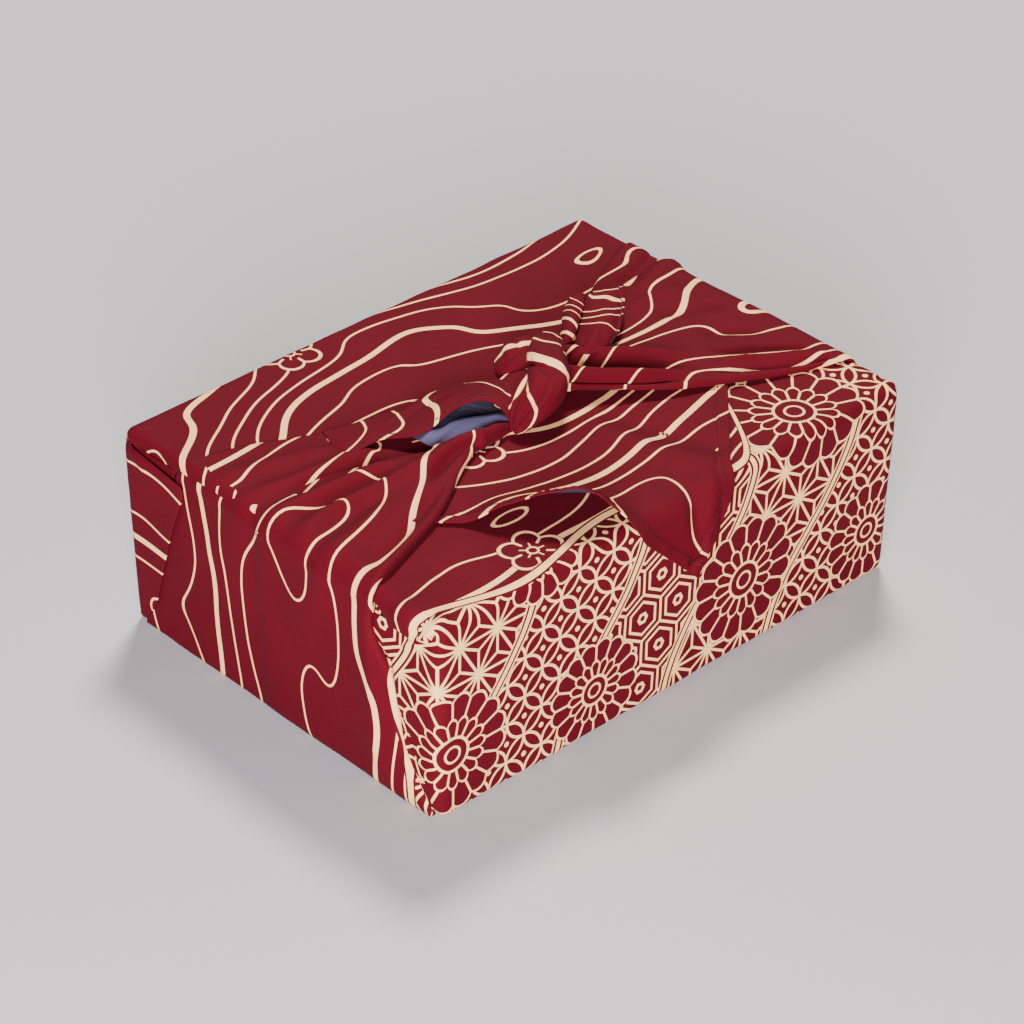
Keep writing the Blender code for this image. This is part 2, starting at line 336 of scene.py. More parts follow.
def newMaterial(name, looks):
    # a material, its node tree and its shader with these constants in its own sockets
    material = bpy.data.materials.new(name)
    material.use_nodes = True
    shader = material.node_tree.nodes["Principled BSDF"]
    feed(shader, looks)
    return material, material.node_tree, shader


def newGroup(name, inputs, outputs):
    tree = bpy.data.node_groups.new(name, "ShaderNodeTree")
    for title in inputs:
        tree.interface.new_socket(title, in_out="INPUT", socket_type="NodeSocketFloat")
    for title in outputs:
        tree.interface.new_socket(title, in_out="OUTPUT", socket_type="NodeSocketFloat")
    entry = tree.nodes.new("NodeGroupInput")
    leave = tree.nodes.new("NodeGroupOutput")
    return tree, [Wire(tree, socket) for socket in entry.outputs[:-1]], leave


def useGroup(tree, group, *values):
    node = addNode(tree, "ShaderNodeGroup", dict(enumerate(values)), node_tree=group)
    return [Wire(tree, socket) for socket in node.outputs]


# the printed cotton: sizes of the drawn design, in millimetres on the flat cloth
design = {
    "streamPitch": 18.5,        # flowing water: from one line to the next
    "streamSlant": 0.30,        # how far its lines lean across the cloth
    "streamSwing": 3.5,
    "thinLine": 1.05,
    "thickLine": 2.7,
    "blossomCell": 118.0,
    "blossomRadius": 12.5,
    "hempSide": 19.0,           # hemp leaf and tortoiseshell
    "coinRadius": 9.0,          # linked coins
    "fillLine": 1.15,
    "fieldWidth": 58.0,         # bands that hold the small patterns
    "mumCell": 78.0,
    "mumRadius": 27.0,
    "mumPetals": 16,
    "frontFoot": -70.0,         # the small patterns fill the front, between these two
    "frontTop": -183.0,
}


def streamGroup():
    # height whose whole numbers are the lines of the flowing water
    tree, (x, y), leave = newGroup("streamHeight", ("x", "y"), ("height",))
    bend = noiseAt(tree, x, y * 1.9, 165.0)
    ripple = noiseAt(tree, x + 40.0, y * 2.4, 62.0)
    height = ((y + x * design["streamSlant"]) / design["streamPitch"]
              + (bend - 0.5) * (2 * design["streamSwing"]) + (ripple - 0.5) * 1.8)
    tree.links.new(height.source, leave.inputs[0])
    return tree


def streamLines(tree, group, x, y):
    # lines of even width, from the height's slope between places probe apart
    probe = 0.5
    here = useGroup(tree, group, x, y)[0]
    slopeX = (useGroup(tree, group, x + probe, y)[0] - here) / probe
    slopeY = (useGroup(tree, group, x, y + probe)[0] - here) / probe
    slope = (slopeX * slopeX + slopeY * slopeY).step("SQRT").most(0.02)
    number = (here + 0.5).whole()
    away = (here - number).size() / slope
    everyFourth = (number / 4.0 + 0.125).rest().flipped().above(0.8)
    half = blend(everyFourth, design["thinLine"] / 2, design["thickLine"] / 2)
    return inkEdge(away, half)


def inkEdge(away, half):
    # 1 inside a drawn line of this half width, with a slightly soft edge
    return fade(away - half, -0.12, 0.12)


def polar(x, y):
    radius = (x * x + y * y).step("SQRT")
    return radius, y.step("ARCTAN2", x)


def blossoms(tree, x, y):
    # five-petalled plum blossoms, one in some of the cells; returns ink and what they cover
    cell = design["blossomCell"]
    cellX = (x / cell).whole()
    cellY = (y / cell).whole()
    diceX, diceY, dicePick = cellDice(tree, cellX + 7.0, cellY + 2.0)
    localX = ((x / cell).rest() - 0.5 - (diceX - 0.5) * 0.5) * cell
    localY = ((y / cell).rest() - 0.5 - (diceY - 0.5) * 0.5) * cell
    radius, turn = polar(localX, localY)
    petal = ((turn + dicePick * 6.0) * (5 / (2 * math.pi))).rest() - 0.5
    big = design["blossomRadius"]
    rim = (petal * petal * -1.3 + 1.0) * big
    inside = fade(radius - rim, 0.9, 1.2)
    ink = inkEdge((radius - rim).size(), 0.75)
    gap = (petal.size() * -1.0 + 0.5) * radius * (2 * math.pi / 5)
    ink = ink.most(inkEdge(gap, 0.55) * fade(radius, big * 0.8, big * 0.85)
                   * fade(radius * -1.0, big * -0.42, big * -0.38))
    ink = ink.most(inkEdge((radius - big * 0.17).size(), 0.45))
    stamen = inkEdge((petal.size() * radius) * (2 * math.pi / 5), 0.32)
    ink = ink.most(stamen * fade(radius, big * 0.4, big * 0.42)
                   * fade(radius * -1.0, big * -0.17, big * -0.15))
    shown = dicePick.above(0.55)
    return ink * inside * shown, inside * shown


def leafGrid(x, y, side):
    # how near a point is to each corner of its triangle: least, middle and most
    slant = x / side - y / (side * math.sqrt(3))
    row = y / (side * math.sqrt(3) / 2)
    a = slant.rest()
    b = row.rest()
    over = (a + b).above(1.0)
    c = (a + b - 1.0).size()
    p = blend(over, a, b.flipped())
    q = blend(over, b, a.flipped())
    least = p.least(q).least(c)
    most = p.most(q).most(c)
    return least, (least + most).flipped(), most


def smallPatterns(x, y):
    # hemp leaf, linked coins and tortoiseshell in winding bands
    half = design["fillLine"] / 2
    side = design["hempSide"]
    least, middle, most = leafGrid(x, y, side)
    hemp = inkEdge((least * (side * 0.866)).least((middle - least) * (side / 2)), half)
    shell = (most - middle) * (side / 2)
    shell = inkEdge(shell.least((shell - 2.9).size()), half).most(
        inkEdge((most.flipped() * (side * 0.75) - 1.6).size(), half))
    ring = design["coinRadius"]
    first = polar(x.centred(2 * ring), y.centred(2 * ring))[0]
    second = polar((x + ring).centred(2 * ring), (y + ring).centred(2 * ring))[0]
    coins = inkEdge((first - ring).size().least((second - ring).size()), half)
    coins = coins.most(inkEdge(first.least(second) - 0.9, 0.3))
    winding = (x + (y / 21.0).sine() * 9.0 + y * 0.35) / design["fieldWidth"]
    number = (winding + 0.5).whole()
    kind = (number / 3.0).rest()
    fill = blend(kind.above(0.2), hemp, coins)
    fill = blend(kind.above(0.5), fill, shell)
    border = (winding - number).size().flipped() - 0.5
    border = border * design["fieldWidth"]
    clear = fade(border, 2.6, 2.9).flipped()
    return (fill * clear).most(inkEdge((border - 0.4).size(), 0.75)).most(
        inkEdge((border - 2.75).size(), 0.45))


def chrysanthemums(tree, x, y):
    # two rings of petals round an eye, one flower to a cell; returns ink and what they cover
    cell = design["mumCell"]
    shiftedX = x + (y / cell).whole() * (cell / 2)
    cellX = (shiftedX / cell).whole()
    cellY = (y / cell).whole()
    diceX, diceY, diceSize = cellDice(tree, cellX, cellY)
    localX = ((shiftedX / cell).rest() - 0.5 - (diceX - 0.5) * 0.22) * cell
    localY = ((y / cell).rest() - 0.5 - (diceY - 0.5) * 0.22) * cell
    radius, turn = polar(localX, localY)
    big = blend(diceSize, design["mumRadius"] * 0.82, design["mumRadius"] * 1.1)
    petals = design["mumPetals"]
    share = radius / big
    ink = None
    for inner, outer, shift in ((0.60, 1.0, 0.0), (0.28, 0.60, 0.5)):
        petal = (turn * (petals / (2 * math.pi)) + shift).rest() - 0.5
        rim = petal * petal * -0.42 + outer
        line = inkEdge(((share - rim) * big).size(), 0.55)
        gap = (petal.size() * -1.0 + 0.5) * radius * (2 * math.pi / petals)
        spoke = inkEdge(gap, 0.5) * fade(share - rim, -0.01, 0.0)
        line = line.most(spoke * fade(share * -1.0, -inner, -inner + 0.01))
        ink = line if ink is None else ink.most(line)
        if outer == 1.0:
            inside = fade((share - rim) * big, 0.5, 0.9)
    ink = ink.most(inkEdge(((share - 0.28) * big).size(), 0.6))
    ink = ink.most(inkEdge(((share - 0.13) * big).size(), 0.5))
    return ink * inside, inside


def printGroup():
    # 1 where the cloth is printed cream, 0 where its ground shows
    tree, (x, y), leave = newGroup("furoshikiPrint", ("x", "y"), ("ink",))
    stream = streamLines(tree, streamGroup(), x, y)
    flowerInk, flowerCover = blossoms(tree, x, y)
    water = blend(flowerCover, stream, flowerInk)
    fill = smallPatterns(x, y)
    mumInk, mumCover = chrysanthemums(tree, x, y)
    front = blend(mumCover, fill, mumInk)
    wave = (x / 17.0).sine() * 5.0
    top = y - (wave + design["frontTop"]) + fade(x, 35.0, 95.0).flipped() * 62.0
    foot = wave + design["frontFoot"] - y
    edge = top.least(foot)
    ink = blend(edge.above(0.0), water, front)
    ink = blend(fade(edge.size(), 2.2, 2.4), ink, inkEdge((edge.size() - 0.2).size(), 1.25))
    tree.links.new(ink.source, leave.inputs[0])
    return tree


clothLooks = {
    "ground": (0.101, 0.0036, 0.0085, 1),
    "groundDeep": (0.068, 0.0027, 0.0066, 1),
    "cream": (0.95, 0.50, 0.190, 1),
    "creamPale": (0.98, 0.585, 0.270, 1),
    "wrongSide": (0.150, 0.128, 0.235, 1),
    # painted shade: the dark slate of the wrong side, painted where it lies in shade behind the
    # loose layer's crest and under the other layers
    "wrongSidePaintedShade": (0.036, 0.031, 0.050, 1),
    "wrongSidePrint": (0.17, 0.135, 0.195, 1),
    "weavePitch": 0.42,
    "weaveDepth": 0.00012,
    "weaveStrength": 0.35,
    "surface": {"Roughness": 0.78, "Specular IOR Level": 0.05, "Sheen Weight": 0.014,
                "Sheen Roughness": 0.45, "Sheen Tint": (0.75, 0.55, 0.85, 1)},
}


def cottonMaterial(name, group, wrongSide=False):
    material, tree, shader = newMaterial(name, clothLooks["surface"])
    flat = addNode(tree, "ShaderNodeUVMap", {}, uv_map="flatCloth")
    split = addNode(tree, "ShaderNodeSeparateXYZ", {0: flat.outputs[0]})
    x = Wire(tree, split.outputs[0]) / toMetres
    y = Wire(tree, split.outputs[1]) / toMetres
    ink = useGroup(tree, group, x, y)[0]
    slub = noiseAt(tree, x / 9.0, y * 1.4, 1.0, 2.0)
    cloudy = noiseAt(tree, x, y, 38.0, 2.0)
    if wrongSide:
        # painted shade: the wrong side stays pale only on the loose layer in front of its crest;
        # behind the crest and on every other piece it is painted dark as shade, where little light
        # reaches
        shadeBehindCrest = fade(y - x * 0.42 - 190.0, -1.2, 1.2)
        shadeAwayFromLoose = fade(x * -1.0 - 215.0, -3.0, 3.0)
        paintedShade = (shadeBehindCrest + shadeAwayFromLoose).least(1.0)
        ground = mixColour(tree, paintedShade, clothLooks["wrongSide"], clothLooks["wrongSidePaintedShade"])
        colour = mixColour(tree, ink * 0.15, ground, clothLooks["wrongSidePrint"])
    else:
        ground = mixColour(tree, (slub * 0.45 + cloudy * 0.65).least(1.0),
                           clothLooks["groundDeep"], clothLooks["ground"])
        paint = mixColour(tree, cloudy, clothLooks["cream"], clothLooks["creamPale"])
        colour = mixColour(tree, ink, ground, paint)
    feed(shader, {"Base Color": colour})
    threads = math.pi / clothLooks["weavePitch"]
    weave = (x * threads).sine() * (y * threads).sine() * 0.5
    addBump(shader, weave + slub * 0.9, clothLooks["weaveStrength"], clothLooks["weaveDepth"])
    return material


furoshikiPrint = printGroup()
clothFinish = cottonMaterial("printedCotton", furoshikiPrint)
wrongSideFinish = cottonMaterial("cottonWrongSide", furoshikiPrint, wrongSide=True)
print("cloth materials ready")


# camera, floor and lights
studio = {
    "lens": 128.05,
    "cameraAt": (-0.8309, -0.8695, 0.8409),
    "cameraRight": (0.727256, -0.686327, 0.007291),
    "cameraUp": (0.376376, 0.407658, 0.831959),
    "cameraBack": (-0.573969, -0.602303, 0.554789),
    "lights": (                 # name, place, power, width and tint
        ("key", Vector((0.35, 0.30, 0.84)).normalized() * 2.2, 82.0, 0.5, (1.0, 0.985, 0.96)),
        ("back", (1.0, 0.85, 0.75), 1.5, 0.7, (0.88, 0.90, 1.0)),
        ("front", (-1.02, -0.94, 0.51), 62.0, 0.6, (0.95, 0.94, 1.0)),
    ),
    "lightsAim": (0.0, 0.0, 0.05),
    "ambient": 0.08,
    "sky": (0.93, 0.94, 1.0, 1.0),
    "floor": (0.46, 0.43, 0.44, 1.0),
    "floorWarm": (0.4738, 0.4429, 0.4532, 1.0),
    "floorHalf": 3.0,
}


def aimedLight(name, place, power, width, tint):
    data = bpy.data.lights.new(name, "AREA")
    data.shape = "DISK"
    data.size = width
    data.energy = power
    data.color = tint
    lamp = addObject(name, data)
    lamp.location = place
    ahead = Vector(studio["lightsAim"]) - Vector(place)
    lamp.rotation_euler = ahead.to_track_quat("-Z", "Y").to_euler()


def buildCamera():
    data = bpy.data.cameras.new("camera")
    data.sensor_width = 36.0
    data.lens = studio["lens"]
    data.clip_start = 0.05
    camera = addObject("camera", data)
    turn = Matrix((studio["cameraRight"], studio["cameraUp"], studio["cameraBack"])).transposed()
    camera.matrix_world = Matrix.Translation(studio["cameraAt"]) @ turn.to_4x4()
    bpy.context.scene.camera = camera


def buildFloor():
    material, tree, shader = newMaterial("paleFloor", {"Roughness": 0.85,
                                                       "Specular IOR Level": 0.15})
    grain = addNode(tree, "ShaderNodeTexNoise", {"Scale": 6.0, "Vector": objectPlace(tree)})
    colour = mixColour(tree, grain.outputs["Fac"], studio["floor"], studio["floorWarm"])
    feed(shader, {"Base Color": colour})
    half = studio["floorHalf"]
    mesh = bpy.data.meshes.new("floor")
    mesh.from_pydata([(-half, -half, 0), (half, -half, 0), (half, half, 0), (-half, half, 0)],
                     [], [(0, 1, 2, 3)])
    mesh.materials.append(material)
    floor = addObject("floor", mesh)


def buildStudio():
    buildCamera()
    for light in studio["lights"]:
        aimedLight(*light)
    world = bpy.data.worlds.new("studio")
    world.use_nodes = True
    feed(world.node_tree.nodes["Background"], {0: studio["sky"], 1: studio["ambient"]})
    bpy.context.scene.world = world
    buildFloor()


buildStudio()
print("camera, floor and lights ready")

# layers of the cloth, handed over at the end: piece, flat size, how held, on what, flat area
clothPieces = []


def keepLayer(obj, uv, held, restsOn):
    # width, length and area of the flat cloth under a grid
    uv = uv * toMetres
    width = float(np.ptp(uv[..., 0]))
    length = float(np.ptp(uv[..., 1]))
    across = np.diff(uv, axis=1)[:-1]
    down = np.diff(uv, axis=0)[:, :-1]
    area = float(np.abs(across[..., 0] * down[..., 1] - across[..., 1] * down[..., 0]).sum())
    clothPieces.append((obj, (width, length), held, restsOn, min(area, width * length)))


# the band: the front corner's cloth over the front, under the box and up the back
band = {
    "frontReach": 12.0,     # how far its front end runs on under the flaps
    "backReach": -2.0,
    "backProud": 1.0,       # the back wall holds a little more cloth than the front
    "rowTop": 1.7,
    "rowWall": 1.6,
    "rowBack": 2.6,
    "rowUnder": 12.0,
    "rowFine": 0.8,         # rows near the top edges, above this height
    "fineFrom": 76.0,
    "columnMiddle": 2.6,
    "columnEnd": 1.3,
    "endColumns": 22,
    "unevenness": 0.28,
}
# place along the band, how far round the side it reaches there, and how proud it lies
frontWallWrap = (
    (-1, 5, 0.3), (3, 5.6, 0.6), (10, 8.1, 0.9), (20, 13, 0.9), (35, 19.6, 0.9), (43, 24.9, 0.9),
    (50, 26, 0.9), (58, 27, 0.9), (62, 28, 0.8), (64, 31, 0.7), (66, 35, 0.6), (70, 41, 0.5),
    (76, 42, 0.3), (80, 30, 0), (82, 14, -0.8), (83.6, 9, -1.4),
)
frontTopWrap = (
    (-86, 9, 0.2), (-84, 11.5, 0.8), (-80, 13, 1.4), (-74, 12.5, 1.8), (-67, 12.2, 1.7),
    (-62, 10, 1.3), (-58.5, 7.6, 0.9), (-50, 6, 0.3), (12, 6, 0),
)
backWallWrap = (
    (-1, 8, 0.3), (3, 9, 0.8), (12.6, 17, 1.3), (36, 25, 1.5), (60, 34, 1.6), (76, 41, 1.6),
    (80, 40, 1.5), (82, 24, 1.2), (83.6, 9, 0.2),
)
backTopWrap = (
    (-2, 6, 0), (50, 6, 0), (58, 8, -0.3), (66, 10.5, -1), (80, 10, -1), (86, 7.5, -0.6),
)


def bandStations():
    # rows as (y, z, outward y, outward z, row kind, place on that kind)
    half, high = parcel["width"] / 2, parcel["height"]
    backHalf, backHigh = half + band["backProud"], high + parcel["layer"]
    soft, foot, low = parcel["round"], parcel["footRound"], parcel["footHeight"]
    fine = band["fineFrom"]
    rows = []

    def straight(kind, y0, z0, y1, z1, normal, step):
        count = max(2, int(math.hypot(y1 - y0, z1 - z0) / step))
        for share in np.linspace(0, 1, count, endpoint=False):
            y = y0 + (y1 - y0) * share
            z = z0 + (z1 - z0) * share
            rows.append((y, z, *normal, kind, z if "Wall" in kind else y))

    def corner(kind, centreY, centreZ, radius, start, count):
        for share in np.linspace(0, 1, count, endpoint=False):
            angle = math.radians(start + 90.0 * share)
            ny, nz = math.cos(angle), math.sin(angle)
            rows.append((centreY + radius * ny, centreZ + radius * nz, ny, nz, kind, share))

    straight("frontTop", band["frontReach"], high, -half + soft, high, (0, 1), band["rowTop"])
    corner("frontEdge", -half + soft, high - soft, soft, 90, 9)
    straight("frontWall", -half, high - soft, -half, fine, (-1, 0), band["rowFine"])
    straight("frontWall", -half, fine, -half, low + foot, (-1, 0), band["rowWall"])
    corner("frontFoot", -half + foot, low + foot, foot, 180, 4)
    straight("bottom", -half + foot, low, backHalf - foot, low, (0, -1), band["rowUnder"])
    corner("backFoot", backHalf - foot, low + foot, foot, 270, 4)
    straight("backWall", backHalf, low + foot, backHalf, fine, (1, 0), band["rowBack"])
    straight("backWall", backHalf, fine, backHalf, backHigh - soft, (1, 0), band["rowFine"])
    corner("backEdge", backHalf - soft, backHigh - soft, soft, 0, 9)
    straight("backTop", backHalf - soft, backHigh, band["backReach"], backHigh, (0, 1),
             band["rowTop"])
    rows.append((band["backReach"], backHigh, 0, 1, "backTop", band["backReach"]))
    return rows


def bandWrap(kind, at):
    # how far a row of this kind reaches round the side, and how proud it lies there
    tables = {"frontTop": frontTopWrap, "frontWall": frontWallWrap, "backWall": backWallWrap,
              "backTop": backTopWrap}
    if kind in tables:
        return tableAt(tables[kind], at, 1), tableAt(tables[kind], at, 2)
    if kind == "frontEdge":
        return 9.0, -1.6 + 1.8 * (1 - at) - 1.0 * math.sin(math.pi * at)
    if kind == "backEdge":
        return 8.5, -0.4
    if kind == "bottom":
        return 4.0, 0.0
    return 5.0, 0.3


def makeBand():
    stations = bandStations()
    inner = parcel["length"] / 2 - parcel["layer"] - parcel["round"]
    middle = np.arange(0.0, inner - 18.0, band["columnMiddle"])
    near = np.linspace(middle[-1], inner, int((inner - middle[-1]) / band["columnEnd"]))[1:]
    flatHalf = np.concatenate((middle, near))
    shares = np.linspace(0, 1, band["endColumns"] + 1)[1:]
    count = len(stations)
    y, z, ny, nz = np.array([row[:4] for row in stations]).T
    reach = np.array([bandWrap(row[4], row[5]) for row in stations])
    under = np.array([row[4] == "bottom" for row in stations])
    v = lineRuns(np.column_stack((y, z)))
    v = v - np.interp(0.0, y[under], v[under])
    past = reach[:, :1] * shares[None, :]
    u = np.concatenate((-(inner + past[:, ::-1]), np.tile(-flatHalf[::-1], (count, 1)),
                        np.tile(flatHalf[1:], (count, 1)), inner + past), axis=1)
    side = np.sign(u)
    over = np.maximum(np.abs(u) - inner, 0.0)
    soft = parcel["round"]
    turn = np.minimum(over / soft, math.pi / 2)
    down = np.maximum(over - soft * math.pi / 2, 0.0)
    proud = reach[:, 1:] * smoothStep(over, 1.5, 8.0)
    proud = proud + band["unevenness"] * softWaves(u, v[:, None], 3, 46.0)
    proud = proud + 0.4 * band["unevenness"] * softWaves(u, v[:, None], 4, 15.0)
    outward = proud * np.cos(turn) - soft * (1 - np.cos(turn)) - down
    x = np.where(over > 0, side * (inner + (soft + proud) * np.sin(turn)), u)
    points = np.stack((x, y[:, None] + ny[:, None] * outward, z[:, None] + nz[:, None] * outward),
                      -1)
    # the walls draw in towards the foot
    drawnIn = parcel["lean"] * (parcel["height"] - points[..., 2]) / parcel["height"]
    points[..., 0] *= 1.0 - drawnIn / (inner + soft)
    points[..., 1] *= 1.0 - drawnIn / (parcel["width"] / 2)
    points = addFolds(points, bandFolds, outward=-1.0)
    points[..., 2] = np.maximum(points[..., 2], 0.1 + weaveSheet["thickness"])
    uv = np.stack((u, np.broadcast_to(v[:, None], u.shape)), -1)
    keepLayer(clothSheet("band", points, uv, flip=True), uv, "laid", ["box"])


def mirrored(line, sideX=1, sideY=1):
    return [(sideX * x, sideY * y, z) for x, y, z in line]


earRidge = [(-123.5, -69.5, 69), (-124, -74, 74), (-124.5, -80, 79.5), (-123.5, -86, 85),
            (-119, -86.5, 88.3), (-112, -84, 88.3)]
pinchValley = [(-124, -76, 77.5), (-124.5, -79.5, 81.5), (-122, -80, 87), (-116, -80.5, 88.2)]
pillowBump = [(-122, -66, 86), (-123, -71, 85.5), (-122.5, -77, 86)]
bandFolds = (
    fold(1.6, 1.5, *earRidge),
    fold(1.2, -1.8, *pinchValley),
    fold(5, 1.2, *pillowBump),
    fold(4, -0.4, (-97.8, -53.8, 88), (-98.6, -61.8, 88), (-99.5, -69.7, 88)),
    fold(1.6, 0.9, *mirrored(earRidge, -1)),
    fold(1.3, -1.2, *mirrored(pinchValley, -1)),
    fold(1.6, 0.7, *mirrored(earRidge, 1, -1)),
    fold(1.6, 0.8, *mirrored(earRidge, -1, -1)),
)
makeBand()
print("band of cloth round the box made")


# the gussets: the cloth tucked in at the two ends, behind the flaps
gusset = {
    "out": 122.9,
    "front": -84.0,
    "back": 84.0,
    "low": 0.8,
    "top": 84.0,
    "crumple": 0.225,
    "fullness": 1.25,       # flat cloth to each length of it along the wall
    "thickness": 0.4,
}


def makeGusset(name, sideX, seed):
    y = np.linspace(gusset["front"], gusset["back"], 90)[None, :]
    z = np.linspace(gusset["top"], gusset["low"], 46)[:, None]
    lean = parcel["lean"] * (parcel["height"] - z) / parcel["height"]
    rough = softWaves(y * 1.7, z * 0.6, seed, 13.0) + 0.5 * softWaves(y * 2.0, z, seed + 1, 6.0)
    out = gusset["out"] - lean + gusset["crumple"] * np.minimum(rough, 0.8)
    out, y, z = np.broadcast_arrays(out, y, z)
    points = np.stack((sideX * out, y, z), -1)
    uv = np.stack((sideX * (121.3 + z), gusset["fullness"] * y), -1)
    obj = clothSheet(name, points, uv, flip=sideX > 0, thickness=gusset["thickness"])
    keepLayer(obj, uv, "folded", ["box"])


makeGusset("leftGusset", -1, 11)
makeGusset("rightGusset", 1, 17)
print("end gussets made")


# the hanging corner: the back corner's tip, over the top and down over the front edge
hanging = {
    "start": 98.0,          # how far behind the front edge its sheet begins
    "leftHem": -29.0,       # where its hems cross the front edge
    "rightHem": 25.8,
    "standOff": 12.0,
    "tipAside": 3.3,        # the tip swings aside and curls up a little
    "tipUp": 2.3,
    "hangUp": 1.5,
    "curl": 0.64,
    "sway": 0.22,
    "ripple": 0.1,
    "pucker": 0.14,
    "seamDepth": 0.28,
    "rowStep": 1.15,
    "flatFrontEdge": 396.0,     # flat distance of the front edge from the cloth's far side
}
archTable = (               # along the left hem: distance behind the front edge, and lift
    (-27.4, 0), (-12, 0.3), (-6, 1.3), (-0.4, 4), (4.2, 8.2), (7.2, 11.9), (12.5, 14.8), (17.8, 14),
    (25.7, 11), (33.7, 7), (42, 0.6), (50, 0), (98, 0),
)


def makeHangingCorner():
    left, right = hanging["leftHem"], hanging["rightHem"]
    tip = -(right - left) / 2
    v = np.arange(hanging["start"], tip + 0.4, -hanging["rowStep"])
    v = np.append(v, tip + 0.35)[:, None]
    leftX = left - v
    rightX = right + v
    near = np.concatenate((np.linspace(0, 9, 13), np.linspace(10.5, 40, 16)))
    # finer columns beside both hems, drawn together where the corner is narrow
    squeeze = np.minimum(1.0, (rightX - leftX) / 90.0)
    fromEdge = near[None, :] * squeeze
    inner = np.linspace(0, 1, 44)[None, 1:-1]
    middleStart = leftX + 40 * squeeze
    middleEnd = rightX - 40 * squeeze
    middle = middleStart + (middleEnd - middleStart) * inner
    x = np.concatenate((leftX + fromEdge, middle, (rightX - fromEdge)[:, ::-1]), axis=1)
    v = np.broadcast_to(v, x.shape)
    fromHem = (x - left + v) / math.sqrt(2)
    fromRight = (right + v - x) / math.sqrt(2)
    hemPlace = v - fromHem / math.sqrt(2)
    arch = np.maximum(tableAt(smoothCurve(archTable, 200), hemPlace), 0.0)
    arch = arch * np.exp(-(fromHem / 15.5) ** 2) * (1 + 0.10 * np.exp(-(fromHem / 4.0) ** 2))
    lift = parcel["layer"] + arch - 0.4 * smoothStep(v, 84.0, 92.0)
    lift = lift + hanging["sway"] * softWaves(x, v, 21, 38.0)
    lift = lift + hanging["ripple"] * softWaves(x, v, 22, 13.0)
    hem = weaveSheet["hemWidth"]
    for away, seed in ((fromHem, 31), (fromRight, 32)):
        onHem = 1.0 - smoothStep(away, hem - 0.7, hem + 0.5)
        along = v if seed == 31 else v + 7.0
        puckers = hanging["pucker"] * softWaves(along, 0.2 * away, seed, 7.0)
        lift = lift + onHem * (weaveSheet["hemRise"] + puckers)
        lift = lift - hanging["seamDepth"] * np.exp(-((away - hem) / 0.55) ** 2)
    points = drapeOver(x, v - parcel["width"] / 2, lift, parcel["round"])
    points[..., 0] = x
    past = np.clip((parcel["round"] - v) / (parcel["round"] - tip), 0.0, None)
    points[..., 1] -= hanging["standOff"] * past ** 1.15
    nearTip = np.clip(past, 0, 1) ** 3
    points[..., 0] -= hanging["tipAside"] * nearTip
    points[..., 2] += hanging["hangUp"] * past + hanging["tipUp"] * nearTip
    fromMiddle = (x - (left + right) / 2) / 12.0
    points[..., 1] -= hanging["curl"] * np.clip(past, 0, 1) ** 2 * fromMiddle ** 2
    points = addFolds(points, hangingFolds, outward=-1.0)
    uv = np.stack((x, hanging["flatFrontEdge"] - v), -1)
    keepLayer(clothSheet("hangingCorner", points, uv, flip=True), uv, "draped", ["band"])
    return points, (fromHem, fromRight)


hangingFolds = (
    fold(6.2, -1.5, (22, -23.6, 90), (24.4, -39.2, 90), (28.4, -55, 90), (33.8, -69.3, 90),
         (38.4, -79.4, 90), ends=(0.1, 0.1)),
    fold(6.4, 1.6, (9.2, -24.5, 91), (11.1, -40.6, 91), (15, -57.4, 91), (20.8, -73.2, 91),
         (27.3, -86, 90), ends=(0.25, 0.1)),
    fold(3.6, -2.5, (5.8, -80, 91), (5.4, -88, 90), (4.4, -94, 84.5), (2.4, -97.5, 78),
         (-1, -100, 71), ends=(0.45, 0.5)),
    fold(3.8, 1.5, (20.9, -74, 91), (18.9, -84, 91), (15, -92, 88.5), (11.6, -95.5, 83),
         (7.9, -98.5, 77), (2.5, -101.5, 69), ends=(0.35, 0.1)),
    fold(6.5, 0.9, (-4, -66, 92), (-5, -77.1, 92.5), (-8, -86.5, 92), (-9.6, -93.3, 87),
         (-9.5, -96.5, 80), ends=(0.35, 0.4)),
    fold(1.5, -1, (18.5, -95, 84), (14.8, -97, 79), (11.6, -98.5, 74), ends=(0.2, 0.2)),
    fold(1.2, -1.5, (-7.5, -101, 67.5), (-2, -100.5, 69), (4, -100, 69.5), ends=(0.2, 0.2)),
    fold(0.9, 1.3, (-7, -102, 65), (-2, -102, 66.5), (3, -101.5, 67), ends=(0.2, 0.2)),
    fold(1, -1.1, (-6, -102.5, 62), (-2, -102, 63.5), (2, -101.5, 64.5), ends=(0.2, 0.2)),
)
hangingPoints, hangingAway = makeHangingCorner()
print("hanging corner made")


# the side flaps: gathered from the walls up to the knot; each row gives the run from the
# parcel's middle, the front and back edges there, the lift and the crown between them
flapColumns = ("run", "front", "back", "lift", "crown")
leftFlapTable = (
    (209, -87, 87, -0.9, 0), (205, -84.5, 86.5, 0, 0), (195, -77, 83, 0, 0.3),
    (183, -70.5, 78.5, 0, 0.5), (166, -67.5, 73, 0, 0.6), (152, -64, 68, 0.3, 0.5),
    (144, -59, 65, 0.5, 0.3), (137, -55.5, 62.5, 0.6, 0.3), (131, -55.5, 60.5, 0.6, 0.3),
    (125, -56.5, 58.5, 0.5, 0.3), (119, -54.5, 56.5, 0.3, 0.4), (111, -51.5, 54, 0, 0.6),
    (97, -46, 49, 0, 0.9), (75, -36.5, 38.5, 0.3, 1.4), (55, -25.4, 31, 1.6, 1.8),
    (38, -17.4, 24, 3.2, 2.2), (25, -16.2, 17.8, 3.8, 2.6), (17, -15, 13, 2, 1.4),
    (9, -13, 9, 0.7, 0.6), (2, -10, 5, 0.2, 0.3),
)
